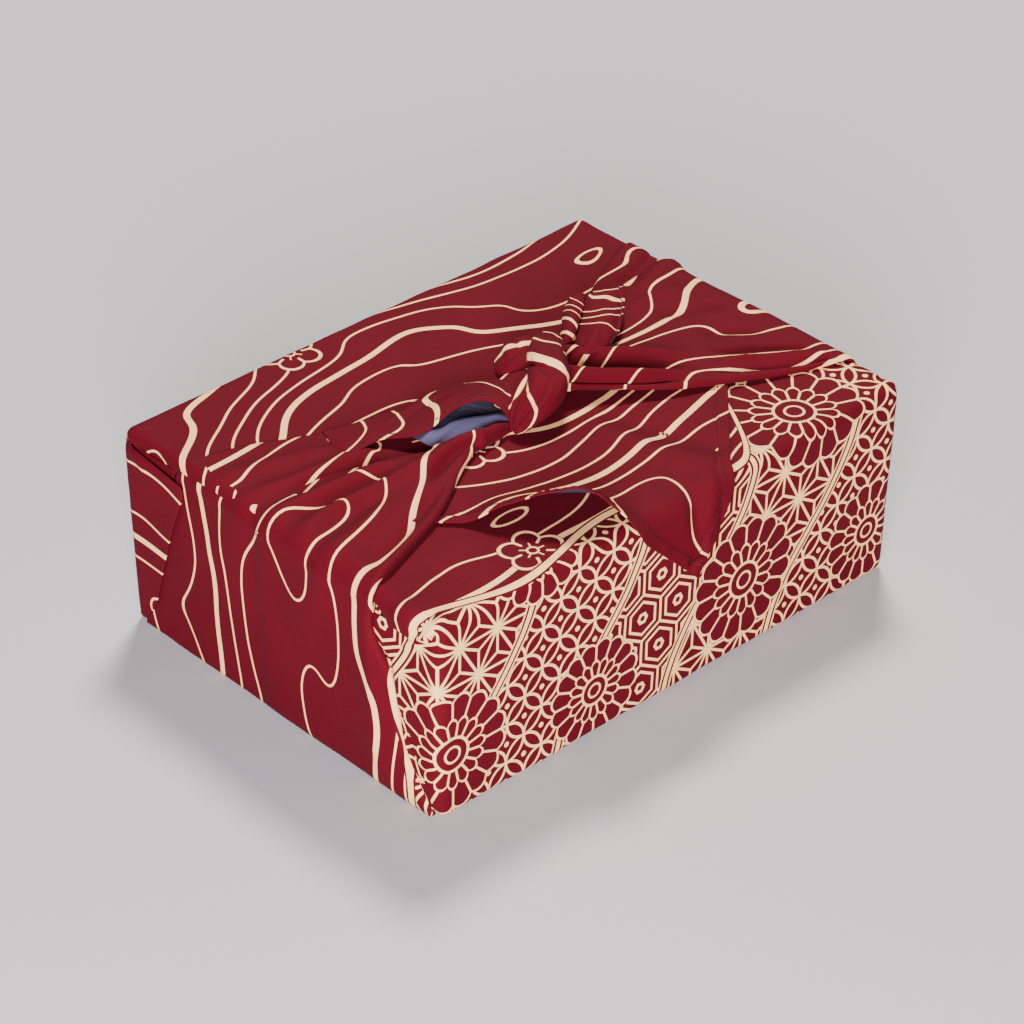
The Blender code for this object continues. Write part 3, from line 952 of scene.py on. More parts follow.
# under the loose layer the left flap lies low: run, how far back it rises, and how high
leftPressed = ((4.0, -10.0, 3.4), (17.0, -8.5, 3.6), (24.0, -6.2, 3.4), (31.0, -5.8, 3.0),
               (38.0, -4.6, 2.6), (44.0, -1.6, 2.3), (50.0, 2.4, 2.1), (57.0, 9.0, 1.8),
               (66.0, 12.4, 1.5), (84.0, 14.0, 1.2))
# its front edge turns in along an upright crease: run, how far forward, how proud
leftCrease = ((209.0, -67.0, 0.4), (200.0, -60.0, 1.6), (190.0, -57.0, 2.8), (166.0, -56.0, 3.2),
              (150.0, -55.5, 2.6), (140.0, -54.0, 1.4), (131.0, -52.5, 0.4), (124.0, -50.0, 0.0))
rightFlapTable = (
    (209, -87, 87, -0.9, 0), (205, -86.5, 86.5, 0, 0), (195, -82, 83, 0, 0.3),
    (183, -76, 78, 0, 0.5), (166, -71, 73, 0, 0.6), (150, -68, 68, 0, 0.5),
    (136, -67, 64.5, 0, 0.3), (129, -66.5, 63, 0, 0.2), (125, -66, 62.5, 0, 0.2),
    (121, -65.5, 61.5, 0, 0.2), (110, -62.5, 57, 0, 0.6), (95, -56.5, 50, 0, 1.2),
    (78, -49.3, 40, 0.5, 2.2), (62, -42.6, 28, 1.3, 3.2), (46, -34, 17, 2.8, 4),
    (32, -25.3, 11, 4.6, 4.6), (20, -17.3, 8, 6.2, 4.8), (8, -11.5, 8, 7.4, 5),
)
flap = {
    "rowStep": 1.5,
    "across": 84,
    "edgeRound": 1.3,       # roundness of its folded edges
    "overRound": 6.5,       # how softly it turns over the parcel's edge
    "turnedUnder": 7.0,
    "turnedShares": (1.0, 0.6, 0.25),
    "turnedDeep": 1.7,      # how far the turned-under edges keep below the upper side
    "pressedFrom": 82.0,    # the left flap goes low from this run, over the next distance
    "pressedOver": 26.0,
    "sway": 0.32,
    "ripple": 0.08,
    "flatEnd": 338.0,       # flat distance from the cloth's middle to the middle of the top
}


def flapStations(table):
    smooth = smoothCurve(table, 400)
    runs = np.arange(table[0][0], table[-1][0], -flap["rowStep"])
    return runs, {name: tableAt(smooth, runs, k)[:, None] for k, name in enumerate(flapColumns)}


def makeFlap(name, table, sideX, folds, seed, pleats, pressed=None, crease=None):
    runs, values = flapStations(table)
    run = runs[:, None]
    under = flap["turnedUnder"]
    q = np.linspace(0, 1, flap["across"])[None, :]
    front, back = values["front"], values["back"]
    soft = flap["edgeRound"]
    # columns: turned under, round the fold, across, round the fold, turned under
    across = front + (back - front) * q
    edge = np.minimum(across - front, back - across)
    drop = soft * (1 - np.sqrt(np.clip(1 - np.clip(1 - edge / soft, 0, 1) ** 2, 0, 1)))
    crown = values["crown"] * np.sin(math.pi * np.clip(q, 0, 1)) ** 0.7
    if pressed is not None:
        # behind this line the flap lies low, under its own loose layer
        line = tableAt(pressed, run, 1)
        height = tableAt(pressed, run, 2)
        share = np.clip((across - front) / (line - front), 0, 1)
        ridge = height * np.sin(math.pi * share ** 0.8) ** 0.75
        crown = crown + (ridge - crown) * smoothStep(flap["pressedFrom"] - run, 0.0,
                                                     flap["pressedOver"])
    layers = 1.0 + smoothStep((parcel["length"] / 2 + 5.0 - run) / 10.0, 0.0, 1.0)
    held = 1.0 if pressed is None else 1.0 - smoothStep(across, line - 9.0, line - 1.0)
    base = parcel["layer"] * layers + values["lift"] * held - 1.5 * (1.0 - held)
    gather = smoothStep(-run, -95.0, -20.0)
    ridges = np.zeros_like(across)
    for place, width, height in pleats:
        ridges = ridges + height * np.exp(-((q - place) / width) ** 2)
    lift = base + crown + ridges * gather * values["crown"] / 6.0 - drop
    lift = lift + flap["sway"] * softWaves(run, across, seed, 44.0)
    lift = lift + flap["ripple"] * softWaves(run, across, seed + 1, 12.0)
    lift = np.maximum(lift, base - 1.2 - 0.6 * (base - 1.5))
    if crease is not None:
        line = tableAt(crease, run, 1)
        proud = tableAt(crease, run, 2)
        strip = np.clip((across - front) / (line - front), 0, 1)
        behind = np.exp(-np.maximum(across - line, 0) / 13.0)
        lift = lift + proud * np.minimum(strip, behind)
    tucked = np.array(flap["turnedShares"])[None, :]
    low = np.broadcast_to(base, across.shape) - 1.15
    underFront = front + 0.3 + under * tucked
    underBack = back - 0.3 - under * tucked[:, ::-1]
    y = np.concatenate((underFront, across, underBack), axis=1)
    count = tucked.shape[1]
    lift = np.concatenate((np.tile(low[:, :1], count), lift, np.tile(low[:, -1:], count)), axis=1)
    points = drapeOver(sideX * run, y, lift, flap["overRound"])
    upper = slice(count, count + across.shape[1])
    points[:, upper] = addFolds(points[:, upper], folds, outward=-1.0 if sideX < 0 else 1.0)
    # the turned-under edges stay beneath the upper side's folds
    for edge, near in ((slice(0, count), across - front < under + 3.0),
                       (slice(-count, None), back - across < under + 3.0)):
        over = points[:, upper]
        lowest = np.min(np.where(near, over[..., 2], 999.0), axis=1, keepdims=True)
        inmost = np.min(np.where(near, np.abs(over[..., 0]), 999.0), axis=1, keepdims=True)
        onTop = lowest > parcel["height"] - 3.0
        height = points[:, edge, 2]
        points[:, edge, 2] = np.where(onTop, np.minimum(height, lowest - flap["turnedDeep"]),
                                      height)
        inside = np.minimum(np.abs(points[:, edge, 0]), inmost - flap["turnedDeep"])
        points[:, edge, 0] = np.where(onTop, points[:, edge, 0], sideX * inside)
    points[..., 2] = np.maximum(points[..., 2], 0.15)
    flatY = np.concatenate((front - under * tucked, across, back + under * tucked[:, ::-1]), axis=1)
    flatX, flatY = np.broadcast_arrays(sideX * (flap["flatEnd"] - run), flatY * (1 + 0.9 * gather))
    uv = np.stack((flatX, flatY), -1)
    obj = clothSheet(name, points, uv, flip=sideX < 0)
    keepLayer(obj, uv, "gathered", ["band", "hangingCorner"])


leftFolds = (
    fold(3.3, -4.4, (-48.5, -4.7), (-59.6, 3.2), (-75.1, 6.1), (-87.1, 8.2), (-101.7, 9.4),
         (-114.4, 10.5), ends=(0.02, 0.4)),
    fold(3.8, 2.1, (-61.4, 10.2), (-75.8, 14.3), (-88.9, 15.2), (-103.1, 17), (-118, 20),
         (-128, 22.5), ends=(0.1, 0.28), downTo=52),
    fold(2.8, 1.9, (-63.3, -1), (-77.6, 1), (-92.5, 2.1), (-107.3, 2.9), (-128, 3),
         ends=(0.15, 0.25), downTo=52),
    fold(3.2, -1.8, (-64.8, -7.1), (-79.4, -5.6), (-95.8, -4.1), (-109.9, -4.6), (-128, -6),
         ends=(0.2, 0.3), downTo=52),
    fold(3.9, 2.3, (-27.2, -14.9), (-41.7, -12.8), (-55.4, -12.3), (-72.1, -10.7), (-91.4, -10.2),
         (-106.1, -9.1), (-120.4, -12), (-128, -15), ends=(0.1, 0.2), downTo=52),
    fold(1.9, -3.4, (-32.9, -15.5), (-41.9, -15.3), (-49.5, -15.8), (-58.9, -18.4), (-68.3, -22.4),
         ends=(0.1, 0.3)),
    fold(3.2, -1.9, (-61.2, -25.3), (-80.7, -33.5), (-98.9, -40.7), (-113.1, -45.7), (-122, -48),
         ends=(0.25, 0.2), downTo=52),
    fold(2.4, 2.3, (-25.3, -18.5), (-40.4, -22.5), (-57.5, -28.9), (-78.9, -38.1), (-94.3, -43.1),
         (-108.6, -48.2), (-120.7, -53.2), ends=(0.1, 0.1)),
    fold(4.5, 1.8, (-76, -20), (-92, -23.5), (-108, -27), (-128, -31), ends=(0.35, 0.28), downTo=52),
    fold(3.4, -1.4, (-84, -15.5), (-100, -17.5), (-114, -20), (-128, -22.5), ends=(0.3, 0.1),
         downTo=52),
    fold(4.6, 1.6, (-70, 22), (-86, 27), (-104, 33), (-128, 39), ends=(0.18, 0.28), downTo=52),
    fold(8.3, 1.5, (-126, -30, 88), (-126.5, -24, 70), (-126.5, -14, 50), (-126, -4, 34),
         ends=(0.1, 0.6)),
    fold(7.4, 1.3, (-126, 14, 88), (-126.5, 24, 72), (-126.5, 38, 56), (-126, 50, 44),
         ends=(0.1, 0.6)),
)
rightFolds = (
    fold(1.9, 2.9, (13.5, -15.6), (24.5, -23.4), (37.5, -31), (50.9, -37.6), (61.8, -42),
         (72.3, -45.8), ends=(-1, 0.5)),
    fold(1.2, -2.9, (14, -11.5), (28.8, -21.4), (41.4, -29.1), (53.7, -35.2), (62.7, -39.3),
         ends=(-1, 0.5)),
    fold(2.4, 3.1, (14, -7), (29.4, -18.1), (43.6, -26), (57.6, -32.2), (72.6, -38.4),
         ends=(-1, 0.5)),
    fold(3.4, -4.4, (18, -1), (34.9, -12.3), (47.9, -19.5), (60.6, -27.1), (74.7, -34.3),
         ends=(-1, 0.5)),
    fold(3, 2.9, (24, 3), (40.6, -6.4), (57.9, -15.5), (78.5, -27), ends=(-1, 0.5)),
    fold(1.4, -2.2, (66.5, -37.4), (83.4, -45.1), (100.8, -54.4), (112.7, -60.2), (121.4, -63),
         ends=(0.2, 0.2)),
    fold(2, -2.2, (78, -26.1), (94, -34.8), (108.7, -44.9), (117.1, -53.1), ends=(0.25, 0.3)),
    fold(1.6, 2, (77, -33.1), (93.4, -43.4), (108.1, -53.5), (118.9, -60.3), ends=(0.25, 0.25)),
    fold(3, -1.8, (84, -12), (98, -20), (112, -30), ends=(0.3, 0.3)),
    fold(4, -1.8, (80, 8), (96, 4), (116, -4), ends=(0.3, 0.2)),
    fold(3, 1.6, (76, 18), (92, 19), (112, 16), ends=(0.3, 0.2)),
    fold(3.6, -2.6, (90, 34), (108.3, 40.8), (124, 45.5), (126, 46), ends=(0.2, -1)),
    fold(5, 2.1, (88.6, 23.4), (103.7, 29.3), (124, 36), ends=(0.3, -1)),
)
makeFlap("leftFlap", leftFlapTable, -1, leftFolds, 41, (), leftPressed, leftCrease)
makeFlap("rightFlap", rightFlapTable, 1, rightFolds, 51, ((0.72, 0.05, 1.6), (0.86, 0.04, 1.4)))
print("side flaps made")


# the left flap's loose upper layer, its hem arched up beside the knot
looseLayer = {"rows": 96, "columns": 96, "hemRise": 0.35, "pucker": 0.1, "thickness": 0.45}
# stations from the left end to the knot: hem, over the layer to its back edge, then turned
# under and forward again with the wrong side up
looseGrid = (
    ((-79.4, 15, 90.3), (-76.1, 19.9, 90.6), (-72.7, 27.3, 90.6), (-69.2, 36, 90),
     (-69.7, 35.6, 88.3), (-71.8, 31.8, 88.2), (-74.8, 24.8, 87.9), (-75.8, 22.6, 88.7),
     (-76.9, 20.3, 89.4)),
    ((-73.9, 13.2, 91.9), (-71.4, 17.1, 92.6), (-67.5, 23.3, 92.5), (-61.9, 30.9, 91.5),
     (-62.5, 30.5, 89.7), (-64.7, 27.4, 89.5), (-68.2, 21.8, 89.2), (-69.5, 20.2, 89.9),
     (-70.7, 18.7, 90.6)),
    ((-59.9, 12.9, 92.5), (-57.9, 15.2, 93.5), (-54, 20.1, 93.6), (-47.6, 27.9, 91.8),
     (-48.2, 27.5, 90.5), (-50.8, 24.6, 90.4), (-54.6, 19.5, 90.1), (-55.7, 19.2, 90.7),
     (-56.7, 18.9, 91.2)),
    ((-53.2, 5.5, 94.2), (-50.7, 9.4, 95.4), (-42.9, 18.8, 94.6), (-37.8, 24.9, 92.2),
     (-37.7, 25, 91.3), (-41.9, 20.5, 91.4), (-46.6, 13.6, 90.7), (-47.5, 13.2, 90.8),
     (-47, 13.8, 89.2)),
    ((-46.9, 1.1, 96), (-44.1, 5.9, 97.3), (-34.6, 17.7, 95.8), (-29.1, 24.1, 93.3),
     (-29, 24.2, 92.4), (-34, 18.8, 91.8), (-35.4, 7, 91.3), (-40, 3, 92.4), (-46, 1.2, 88.8)),
    ((-39.3, 1, 98), (-36.1, 5.6, 99), (-26.8, 16.7, 97.2), (-21.6, 23.1, 94), (-21.5, 23.2, 92.9),
     (-27.3, 17.1, 91.2), (-28.4, 6.8, 91.3), (-33.8, 1.9, 93.2), (-41.9, -4.3, 88.9)),
    ((-30.8, 1.1, 100), (-28.3, 5, 100.5), (-21, 13.9, 98.6), (-15.9, 20.2, 95.3),
     (-15.8, 20.3, 94.2), (-21.7, 14, 91.6), (-21.9, 4.7, 91.2), (-27.8, -0.6, 93.6),
     (-35.9, -6.8, 88.9)),
    ((-23.1, -1.3, 101), (-20.9, 1.7, 101.6), (-13.7, 10.3, 99.6), (-9.5, 15.6, 96.3),
     (-9.4, 15.7, 95.2), (-15.1, 10.1, 92), (-15.6, 1.3, 91.2), (-21.7, -4.2, 93.8),
     (-28.4, -7.8, 88.9)),
    ((-18.8, -5.7, 100.5), (-14.4, -2.6, 101.3), (-7, 5.1, 100), (-3.1, 9.9, 97.4), (-3, 10, 96.3),
     (-8.4, 5.9, 92.2), (-10.9, -1, 91.2), (-16.8, -6.4, 93.6), (-21.8, -7.4, 88.9)),
    ((-17.5, -10.4, 98.5), (-10.9, -7.9, 100), (-1.5, -0.4, 99.8), (3.8, 4.8, 98), (3.9, 4.9, 96.9),
     (-1.9, 1.6, 91.8), (-9.4, -5.2, 91), (-14.8, -9.8, 93), (-19.2, -10.4, 89.2)),
    ((-17.4, -13.8, 95.5), (-10.8, -12.3, 97), (-0.5, -6, 98.5), (5.7, -1.1, 97.4), (5.8, -1, 96.3),
     (0, -3.5, 91.2), (-11, -9.6, 90.8), (-15.5, -13.4, 92.2), (-18, -12.4, 89.2)),
)
looseFolds = (
    fold(1.6, -0.8, (-49, 13, 95), (-40, 16, 96.5), (-30, 15, 98), (-22, 10, 99)),
    fold(1.2, 0.5, (-52, 19, 93.5), (-44, 21, 94), (-36, 20.5, 95.3), (-28, 18, 96.8)),
    fold(2.2, 0.5, (-38, 8, 98.5), (-28, 8, 100), (-19, 3, 101.2)),
    fold(1.3, -0.7, (-14, -9, 98.5), (-9, -3, 100.2), (-4, 3, 99.8)),
)


def patch(grid, rows, columns):
    # smooth surface through a small grid of places
    across = np.array([smoothCurve(row, columns) for row in grid])
    return np.stack([smoothCurve(across[:, j], rows) for j in range(columns)], axis=1)


def runLengths(points):
    # for each point of a grid, how far down its column and how far across its row it is
    down = np.cumsum(np.linalg.norm(np.diff(points, axis=0), axis=-1), axis=0)
    across = np.cumsum(np.linalg.norm(np.diff(points, axis=1), axis=-1), axis=1)
    return (np.concatenate((np.zeros((1, points.shape[1])), down)),
            np.concatenate((np.zeros((len(points), 1)), across), axis=1))


def makeLooseLayer():
    points = patch(looseGrid, looseLayer["rows"], looseLayer["columns"])
    points = addFolds(points, looseFolds, outward=-1.0)
    far, over = runLengths(points)
    onHem = 1.0 - smoothStep(over, 2.2, 3.0)
    puckers = looseLayer["pucker"] * softWaves(far, 0.0, 71, 5.0)
    points[..., 2] += onHem * (looseLayer["hemRise"] + puckers)
    uv = np.stack((-250.0 - far, 12.0 + over), -1)
    obj = clothSheet("looseLayer", points, uv, flip=True, thickness=looseLayer["thickness"])
    keepLayer(obj, uv, "draped", ["leftFlap"])
    return points


loosePoints = makeLooseLayer()
print("loose layer made")


# the knot: gathered strands of the two side corners, tied over each other
def strandFolds(far, angle, radius, folds):
    # how much each place of a strand's skin rises or sinks at its folds
    place = np.stack(np.broadcast_arrays(far, radius * angle, 0.0 * far), -1)
    up = np.zeros_like(place)
    up[..., 2] = 1.0
    total = np.zeros(place.shape[:-1])
    for one in folds:
        line = [(t * far.max(), radius * math.radians(turn), 0.0) for t, turn in one["line"]]
        away, side, along = nearLine(place, up, line)
        ends = one.get("ends", (0.2, 0.2))
        fadeOut = smoothStep(along, -0.01, ends[0]) * smoothStep(1.0 - along, -0.01, ends[1])
        shape = np.exp(-(away / one["width"]) ** 2)
        if "steep" in one:
            signed = away * side * one["steep"]
            shape = np.where(signed > 0, np.exp(-(np.abs(signed) / (3.2 * one["width"])) ** 1.5),
                             shape)
        total = total + one["height"] * shape * fadeOut
    return total


def sweptStrand(name, pleats, flatStart, roundness=2.0, folds=()):
    # flattened gathered strand: sections along a centre line, with pleats running along it
    count, sides = knot["rows"], knot["sides"]
    rows = smoothCurve(knot[name], count)
    centre = rows[:, :3]
    ahead = unit(np.gradient(centre, axis=0))
    lies = smoothCurve(knot[name + "Lies"], count)
    wide = unit(lies - ahead * np.sum(ahead * lies, axis=1, keepdims=True))
    tall = np.cross(ahead, wide)
    angle = np.linspace(0, 2 * math.pi, sides, endpoint=False)[None, :]
    place = np.linspace(0, 1, count)[:, None]
    fromEnd = np.minimum(place, 1 - place)
    ends = np.minimum(1.0, fromEnd / 0.08 + 0.5)
    swell = np.ones((count, sides))
    for at, width, height, wander in pleats:
        away = np.angle(np.exp(1j * (angle - at - wander * (place - 0.5))))
        swell = swell + height * np.exp(-(away / width) ** 2)
    power = 2.0 / roundness
    c = np.sign(np.cos(angle)) * np.abs(np.cos(angle)) ** power
    s = np.sign(np.sin(angle)) * np.abs(np.sin(angle)) ** power
    halfWide = (rows[:, 3:4] / 2) * ends * c * (0.5 + 0.5 * swell)
    halfTall = (rows[:, 4:5] / 2) * ends * s * swell
    points = (centre[:, None, :] + wide[:, None, :] * halfWide[..., None]
              + tall[:, None, :] * halfTall[..., None])
    far = lineRuns(centre)
    if folds:
        radius = float(np.mean(rows[:, 3:5])) / 2
        rise = strandFolds(far[:, None], angle, radius, folds)
        points = points + unit(points - centre[:, None, :]) * rise[..., None]
    # each end is closed to a point a little way inside it
    poles = (centre[0] + ahead[0] * 0.3, centre[-1] - ahead[-1] * 0.3)
    flatX = flatStart[0] + np.concatenate((far[:1], far, far[-1:]))
    step = np.mean(rows[:, 3]) * 2.2 / sides
    obj = strandMesh(name, points, poles, flatX, flatStart[1], step)
    # a strand lies flat as a strip folded in two, so its cut is half its skin
    skin = sum(face.area for face in obj.data.polygons)
    long = float(far[-1]) * toMetres
    clothPieces.append((obj, (long, skin / 2 / long), "gathered", ["rightFlap"], None))


def strandMesh(name, points, ends, flatX, flatY, flatStep):
    # closed skin of a strand; the seam keeps its own flat coordinates
    rows, sides = points.shape[:2]
    shape = bmesh.new()
    layer = shape.loops.layers.uv.new("flatCloth")
    grid = [[shape.verts.new(Vector(point) * toMetres) for point in row] for row in points]
    poles = [shape.verts.new(Vector(end) * toMetres) for end in ends]

    def face(corners, places):
        made = shape.faces.new(corners)
        made.smooth = True
        for loop, (i, j) in zip(made.loops, places):
            loop[layer].uv = Vector((flatX[i], flatY + flatStep * j)) * toMetres

    for i in range(rows - 1):
        for j in range(sides):
            k = (j + 1) % sides
            face((grid[i][j], grid[i][k], grid[i + 1][k], grid[i + 1][j]),
                 ((i + 1, j), (i + 1, j + 1), (i + 2, j + 1), (i + 2, j)))
    for j in range(sides):
        k = (j + 1) % sides
        face((poles[0], grid[0][k], grid[0][j]), ((0, j + 0.5), (1, j + 1), (1, j)))
        face((poles[1], grid[-1][j], grid[-1][k]),
             ((rows + 1, j + 0.5), (rows, j), (rows, j + 1)))
    bmesh.ops.recalc_face_normals(shape, faces=shape.faces)
    mesh = bpy.data.meshes.new(name)
    shape.to_mesh(mesh)
    shape.free()
    mesh.materials.append(clothFinish)
    return addObject(name, mesh)


# each strand: places, width and thickness along it, and the way its width lies
knot = {
    "rows": 110,
    "sides": 84,
    "knotTopLobe": (
        (35.3, 18, 98, 7, 5), (26.7, 10.8, 101.5, 12, 8), (18.1, 2.7, 104, 15, 11),
        (10.8, -5.4, 105.2, 16.2, 12.5), (5.4, -11.6, 104.8, 16.4, 12.5),
        (0.6, -15.6, 103.2, 15.6, 11.5), (-4.6, -17.5, 100.8, 14, 10), (-10, -18.2, 98, 11.2, 8),
        (-14.6, -18.3, 95, 7.4, 6), (-18.5, -18.5, 92.5, 3, 3),
    ),
    "knotTopLobeLies": (
        (0.735, -0.678, 0), (0.735, -0.678, 0), (0.735, -0.678, 0), (0.72, -0.69, 0),
        (0.64, -0.77, 0), (0.45, -0.89, 0), (0.25, -0.97, 0), (0.1, -0.995, 0), (0, -1, 0),
    ),
    "knotFan": (
        (7.4, -3.8, 100, 10, 7), (-1.3, -9, 100.5, 12, 8.5), (-7.5, -12.5, 99.3, 12, 8.5),
        (-12.4, -14.8, 97, 9.5, 7.5), (-15.7, -16.4, 94.6, 6.5, 5.5), (-18, -17.5, 92.5, 3, 3),
    ),
    "knotFanLies": ((0.1, -0.99, 0), (0.1, -0.99, 0)),
    "knotShortTail": (
        (22.7, 10.6, 100, 15, 7), (16.5, 10.9, 101.5, 18, 8), (11.5, 12.5, 101, 19, 8),
        (7.1, 14.3, 98.6, 16, 6.5), (4.9, 16.8, 95.6, 11, 4.5),
    ),
    "knotShortTailLies": ((0.552, 0.834, 0), (0.552, 0.834, 0)),
    "knotUnderLoop": (
        (-12, 2, 95, 15, 6), (-3, 1, 95.5, 18, 8), (6, 0, 96.5, 19, 9), (15, -2.5, 97, 15, 8),
        (24, -5.5, 96, 11, 6),
    ),
    "knotUnderLoopLies": ((0, 1, 0), (0, 1, 0)),
}
# pleats along a strand: radians round it, width, height, and how far they wander round it
fanPleats = (
    (0.45, 0.13, 0.20, 0.2), (0.95, 0.12, 0.26, 0.2), (1.45, 0.13, 0.20, 0.2),
    (2.05, 0.15, 0.24, 0.2), (2.65, 0.16, 0.18, 0.2), (3.9, 0.2, 0.1, 0.2), (5.3, 0.2, 0.1, 0.2),
)
lobePleats = ((0.62, 0.16, 0.05, 0.3), (2.35, 0.2, 0.05, 0.4), (4.0, 0.2, 0.06, 0.4))
# creases on the knot's skin: (share of the length, degrees round it)
lobeFolds = (
    fold(0.9, -1.9, (0.5, 178), (0.55, 150), (0.61, 110), (0.69, 66), ends=(0.02, 0.25), steep=-1),
    fold(1.4, 0.8, (0.5, 150), (0.53, 120), (0.6, 92)),
    fold(1.1, 1.1, (0.66, 118), (0.8, 108), (0.97, 100), ends=(0.25, 0.1)),
    fold(0.8, -1, (0.67, 92), (0.8, 84), (0.97, 82), ends=(0.3, 0.1)),
    fold(1.2, 1, (0.68, 66), (0.8, 60), (0.97, 60), ends=(0.3, 0.1)),
    fold(1.5, 0.9, (0.12, 130), (0.25, 122), (0.4, 128)),
    fold(1.2, -1, (0.14, 62), (0.3, 40), (0.48, 30), (0.64, 30)),
    fold(1.8, 0.7, (0.2, 84), (0.32, 60), (0.46, 52), (0.6, 50)),
)
shortFolds = (
    fold(0.8, -1.3, (0.15, 252), (0.5, 250), (0.9, 242), ends=(0.05, 0.2)),
    fold(1.5, 0.7, (0.15, 236), (0.5, 232), (0.85, 226)),
    fold(1.3, 0.8, (0.3, 300), (0.55, 290), (0.75, 262)),
    fold(0.9, -0.8, (0.42, 262), (0.5, 292), (0.48, 325)),
)
sweptStrand("knotUnderLoop", lobePleats, (-330, 60))
sweptStrand("knotShortTail", (), (-392, 16), roundness=3.0, folds=shortFolds)
sweptStrand("knotFan", fanPleats, (352, 136))
sweptStrand("knotTopLobe", lobePleats, (-362, 84), roundness=2.3, folds=lobeFolds)


# the long tail, laid over the right flap
longTail = {"rows": 70, "columns": 110, "hemRise": 0.4, "pucker": 0.12, "seamDepth": 0.4}
# rows from the knot to the tail's end, columns over the rolled edge, into the crease beside
# it and across the open part to the hem
tailGrid = (
    ((29.4, 6.7, 99), (27.8, 5.6, 101.5), (26.1, 2.8, 102.5), (26.6, 1.6, 101.5), (28.4, 2.3, 99.5),
     (29.3, -2.9, 101), (33.1, -6.1, 101.4), (38, -7, 100.8), (44.5, -5.8, 99.3)),
    ((36.8, 13.3, 99), (34.4, 11.7, 102.5), (32.6, 6.7, 105), (35.6, 5.3, 103.5),
     (38.5, 8.3, 100.3), (37.2, 0.8, 103), (40.3, -2.8, 103.3), (46.7, -3.1, 102.2),
     (55.1, -0.8, 100.6)),
    ((45.5, 21.1, 99), (43, 19.5, 103), (41.1, 13.3, 106.5), (45.1, 12, 104.5), (48.7, 15.6, 100.6),
     (46.3, 7.3, 103.8), (48, 2.8, 104.6), (54.3, 2.9, 103.4), (62.7, 5.1, 101.4)),
    ((52.9, 27, 99.5), (49.7, 25, 103), (48.7, 20, 106.5), (52.6, 17.7, 105), (55.7, 20.8, 101.5),
     (55.1, 15.1, 103.8), (56.8, 10.7, 105), (62.4, 10, 104), (70.5, 11.9, 101.8)),
    ((57.8, 28.7, 100.5), (56.2, 28.8, 103), (57.2, 27, 105), (60.4, 25.7, 104.5),
     (63.2, 25.6, 102.5), (66.3, 25.4, 103.2), (69.4, 22.9, 104), (73.6, 21.3, 103.5),
     (78.8, 21.1, 102)),
)
tailFolds = (
    fold(1.5, -0.9, (30.5, -2, 101.5), (36, 0.5, 103.5), (42, 5, 103.8), ends=(0, 0.6)),
    fold(1.8, 0.7, (31, -4.5, 101.5), (41, -1, 103.8), (52, 7, 105), ends=(0, 0.5)),
    fold(2, 0.5, (41, -6.5, 101), (49, -0.5, 103.5), (60, 8.5, 104.5)),
)


def makeTail():
    points = patch(tailGrid, longTail["rows"], longTail["columns"])
    points = addFolds(points, tailFolds)
    far, over = runLengths(points)
    toHem = over[:, -1:] - over
    onHem = 1 - smoothStep(toHem, 2.6, 3.4)
    puckers = longTail["pucker"] * softWaves(far, 0.0, 61, 5.0)
    points[..., 2] += onHem * (longTail["hemRise"] + puckers)
    points[..., 2] -= longTail["seamDepth"] * np.exp(-((toHem - 3.3) / 0.4) ** 2)
    # the print lies drawn together in the gathered tail
    uv = np.stack((332.0 + over + far * 0.4, 34.0 + far * 1.5), -1)
    obj = clothSheet("longTail", points, uv)
    keepLayer(obj, np.stack((over, far), -1), "draped", ["rightFlap", "knotTopLobe"])
    return points


tailPoints = makeTail()
print("knot and its tails made")


# stitches that hold the hems
stitch = {
    "length": 2.3,
    "pitch": 3.3,
    "width": 0.5,
    "proud": 0.05,
    "unevenness": 0.12,
    "seed": 5,
    "thread": (0.085, 0.0040, 0.0065, 1),
    "threadDeep": (0.030, 0.0016, 0.0030, 1),
}


def threadMaterial():
    material, tree, shader = newMaterial("hemThread", {"Roughness": 0.62,
                                                       "Specular IOR Level": 0.2})
    twist = addNode(tree, "ShaderNodeTexWave",
                    {"Scale": 1400.0, "Distortion": 1.5, "Vector": objectPlace(tree)},
                    bands_direction="DIAGONAL")
    colour = mixColour(tree, twist.outputs["Fac"], stitch["threadDeep"], stitch["thread"])
    feed(shader, {"Base Color": colour})
    return material


